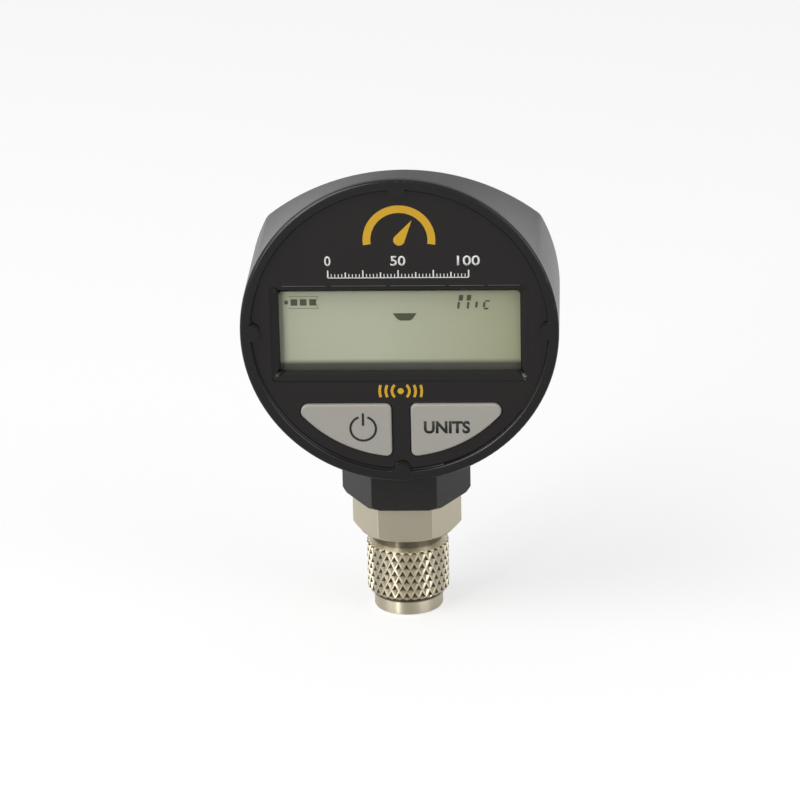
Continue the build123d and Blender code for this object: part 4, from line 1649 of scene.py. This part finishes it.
@dataclass
class Studio:
    """Pale floor and soft light.

    Attributes:
        floor_radius: Radius of the floor in metres.
        floor_height: Height of the floor.
        floor_greys: The two greys that the floor wanders between, scene-linear.
        floor_patches: Patches of either grey for each metre.
        floor_roughness: Roughness of the floor.
        glow: Strength that lifts the floor to white for the camera.
        card_span: Distances behind the stem between which the floor turns bright in reflections.
        card_near: Least distance behind the stem that a slope is measured at.
        lane: Slopes off the middle between which the surroundings turn bright in reflections.
        sky: Strength of the surrounding light.
        mirrored: Strength of the upper surroundings in reflections.
        horizon: Strength of the surroundings near the floor in reflections.
        horizon_band: Slopes above the floor between which the one turns into the other.
        lamps: The lamps.
    """

    floor_radius: float = 6.0
    floor_height: float = -0.00002
    floor_greys: Point = (0.42, 0.41)
    floor_patches: float = 3
    floor_roughness: float = 0.9
    glow: float = 0.60
    card_span: Point = (-0.06, 0.14)
    card_near: float = 0.03
    lane: Point = (0.05, 0.32)
    sky: float = 0.50
    mirrored: float = 0.46
    horizon: float = 1.0
    horizon_band: Point = (0.02, 0.34)
    lamps: tuple[Lamp, ...] = (
        Lamp("key_lamp", (-0.85, -0.55, 0.95), (1.1, 1.1), 11.5),
        Lamp("fill_lamp", (0.9, -0.6, 0.6), (0.8, 0.8), 3.4),
        Lamp("strip_lamp", (-0.38, -0.58, 0.20), (0.05, 0.40), 0.9),
    )

    def card(self, bench: Bench) -> Socket:
        """Works out where the floor is bright in reflections: behind the gauge, off its middle.

        Args:
            bench: The floor's material.

        Returns:
            Its brightness, 0 to 1.
        """
        y = bench.axis(Axis.Y)
        behind = bench.span(y, self.card_span)
        across = bench.math(Step.SIZE, bench.axis(Axis.X))
        slope = bench.math(Step.OVER, across, bench.math(Step.LARGER, y, self.card_near))
        aside = bench.span(slope, self.lane)
        return bench.math(Step.TIMES, bench.math(Step.TIMES, behind, aside), bench.ray(Ray.GLOSSY))

    def floor(self) -> None:
        """Lays the floor, which is white to the camera but keeps the shadow."""
        deselect()
        bpy.ops.mesh.primitive_circle_add(vertices=96, radius=self.floor_radius, fill_type="NGON",
                                          location=(0, 0, self.floor_height))
        floor = bpy.context.object
        floor.name = "floor"
        bench = Bench("pale_floor")
        greys = [(grey, grey, grey, 1) for grey in self.floor_greys]
        seen = bench.math(Step.LARGER, bench.ray(Ray.CAMERA), bench.ray(Ray.THROUGH))
        bright = bench.math(Step.LARGER, seen, self.card(bench))
        bench.set(
            Base_Color=bench.mix(bench.noise(self.floor_patches, 2), *greys),
            Roughness=self.floor_roughness,
            Specular_IOR_Level=0.0,
            Emission_Color=(1, 1, 1, 1),
            Emission_Strength=bench.math(Step.TIMES, bright, self.glow),
        )
        floor.data.materials.append(bench.material)

    def surroundings(self) -> None:
        """Sets a plain sky: white to the camera, softer as light and in upper reflections."""
        world = bpy.data.worlds.new("studio")
        world.use_nodes = True
        bpy.context.scene.world = world
        graph = Graph(world.node_tree, "Generated")
        side = graph.math(Step.SIZE, graph.axis(Axis.X))
        aside = graph.span(side, self.lane)
        low = graph.span(graph.axis(Axis.Z), self.horizon_band, (1.0, 0.0))
        near = graph.math(Step.TIMES, aside, low)
        mirrored = graph.span(near, (0.0, 1.0), (self.mirrored, self.horizon))
        strength = self.sky
        for ray, level in ((Ray.GLOSSY, mirrored), (Ray.CAMERA, 1.0), (Ray.THROUGH, 1.0)):
            strength = graph.mix(graph.ray(ray), strength, level, Mixed.NUMBERS)
        back = next(n for n in graph.tree.nodes if n.type == "BACKGROUND")
        graph.feed(back.inputs["Color"], (1, 1, 1, 1))
        graph.feed(back.inputs["Strength"], strength)

    def build(self) -> None:
        """Builds floor, sky and lamps."""
        self.floor()
        self.surroundings()
        for lamp in self.lamps:
            lamp.build()
        bpy.context.scene.view_settings.view_transform = "Standard"


def main() -> None:
    """Builds the gauge, the camera and the studio in order."""
    logging.basicConfig(level=logging.INFO, format="%(message)s")
    face = Face.from_frame()
    LOG.info("face centre %.1f mm up, rim %.1f mm before the stem", face.height, face.setback)
    Case().build()
    FacePrint().build(face)
    Display().build(face)
    Keys().build(face)
    Stem().build()
    SwivelNut().build()
    Electronics().build()
    PhotoCamera().build()
    Studio().build()


if __name__ == "__main__":
    main()
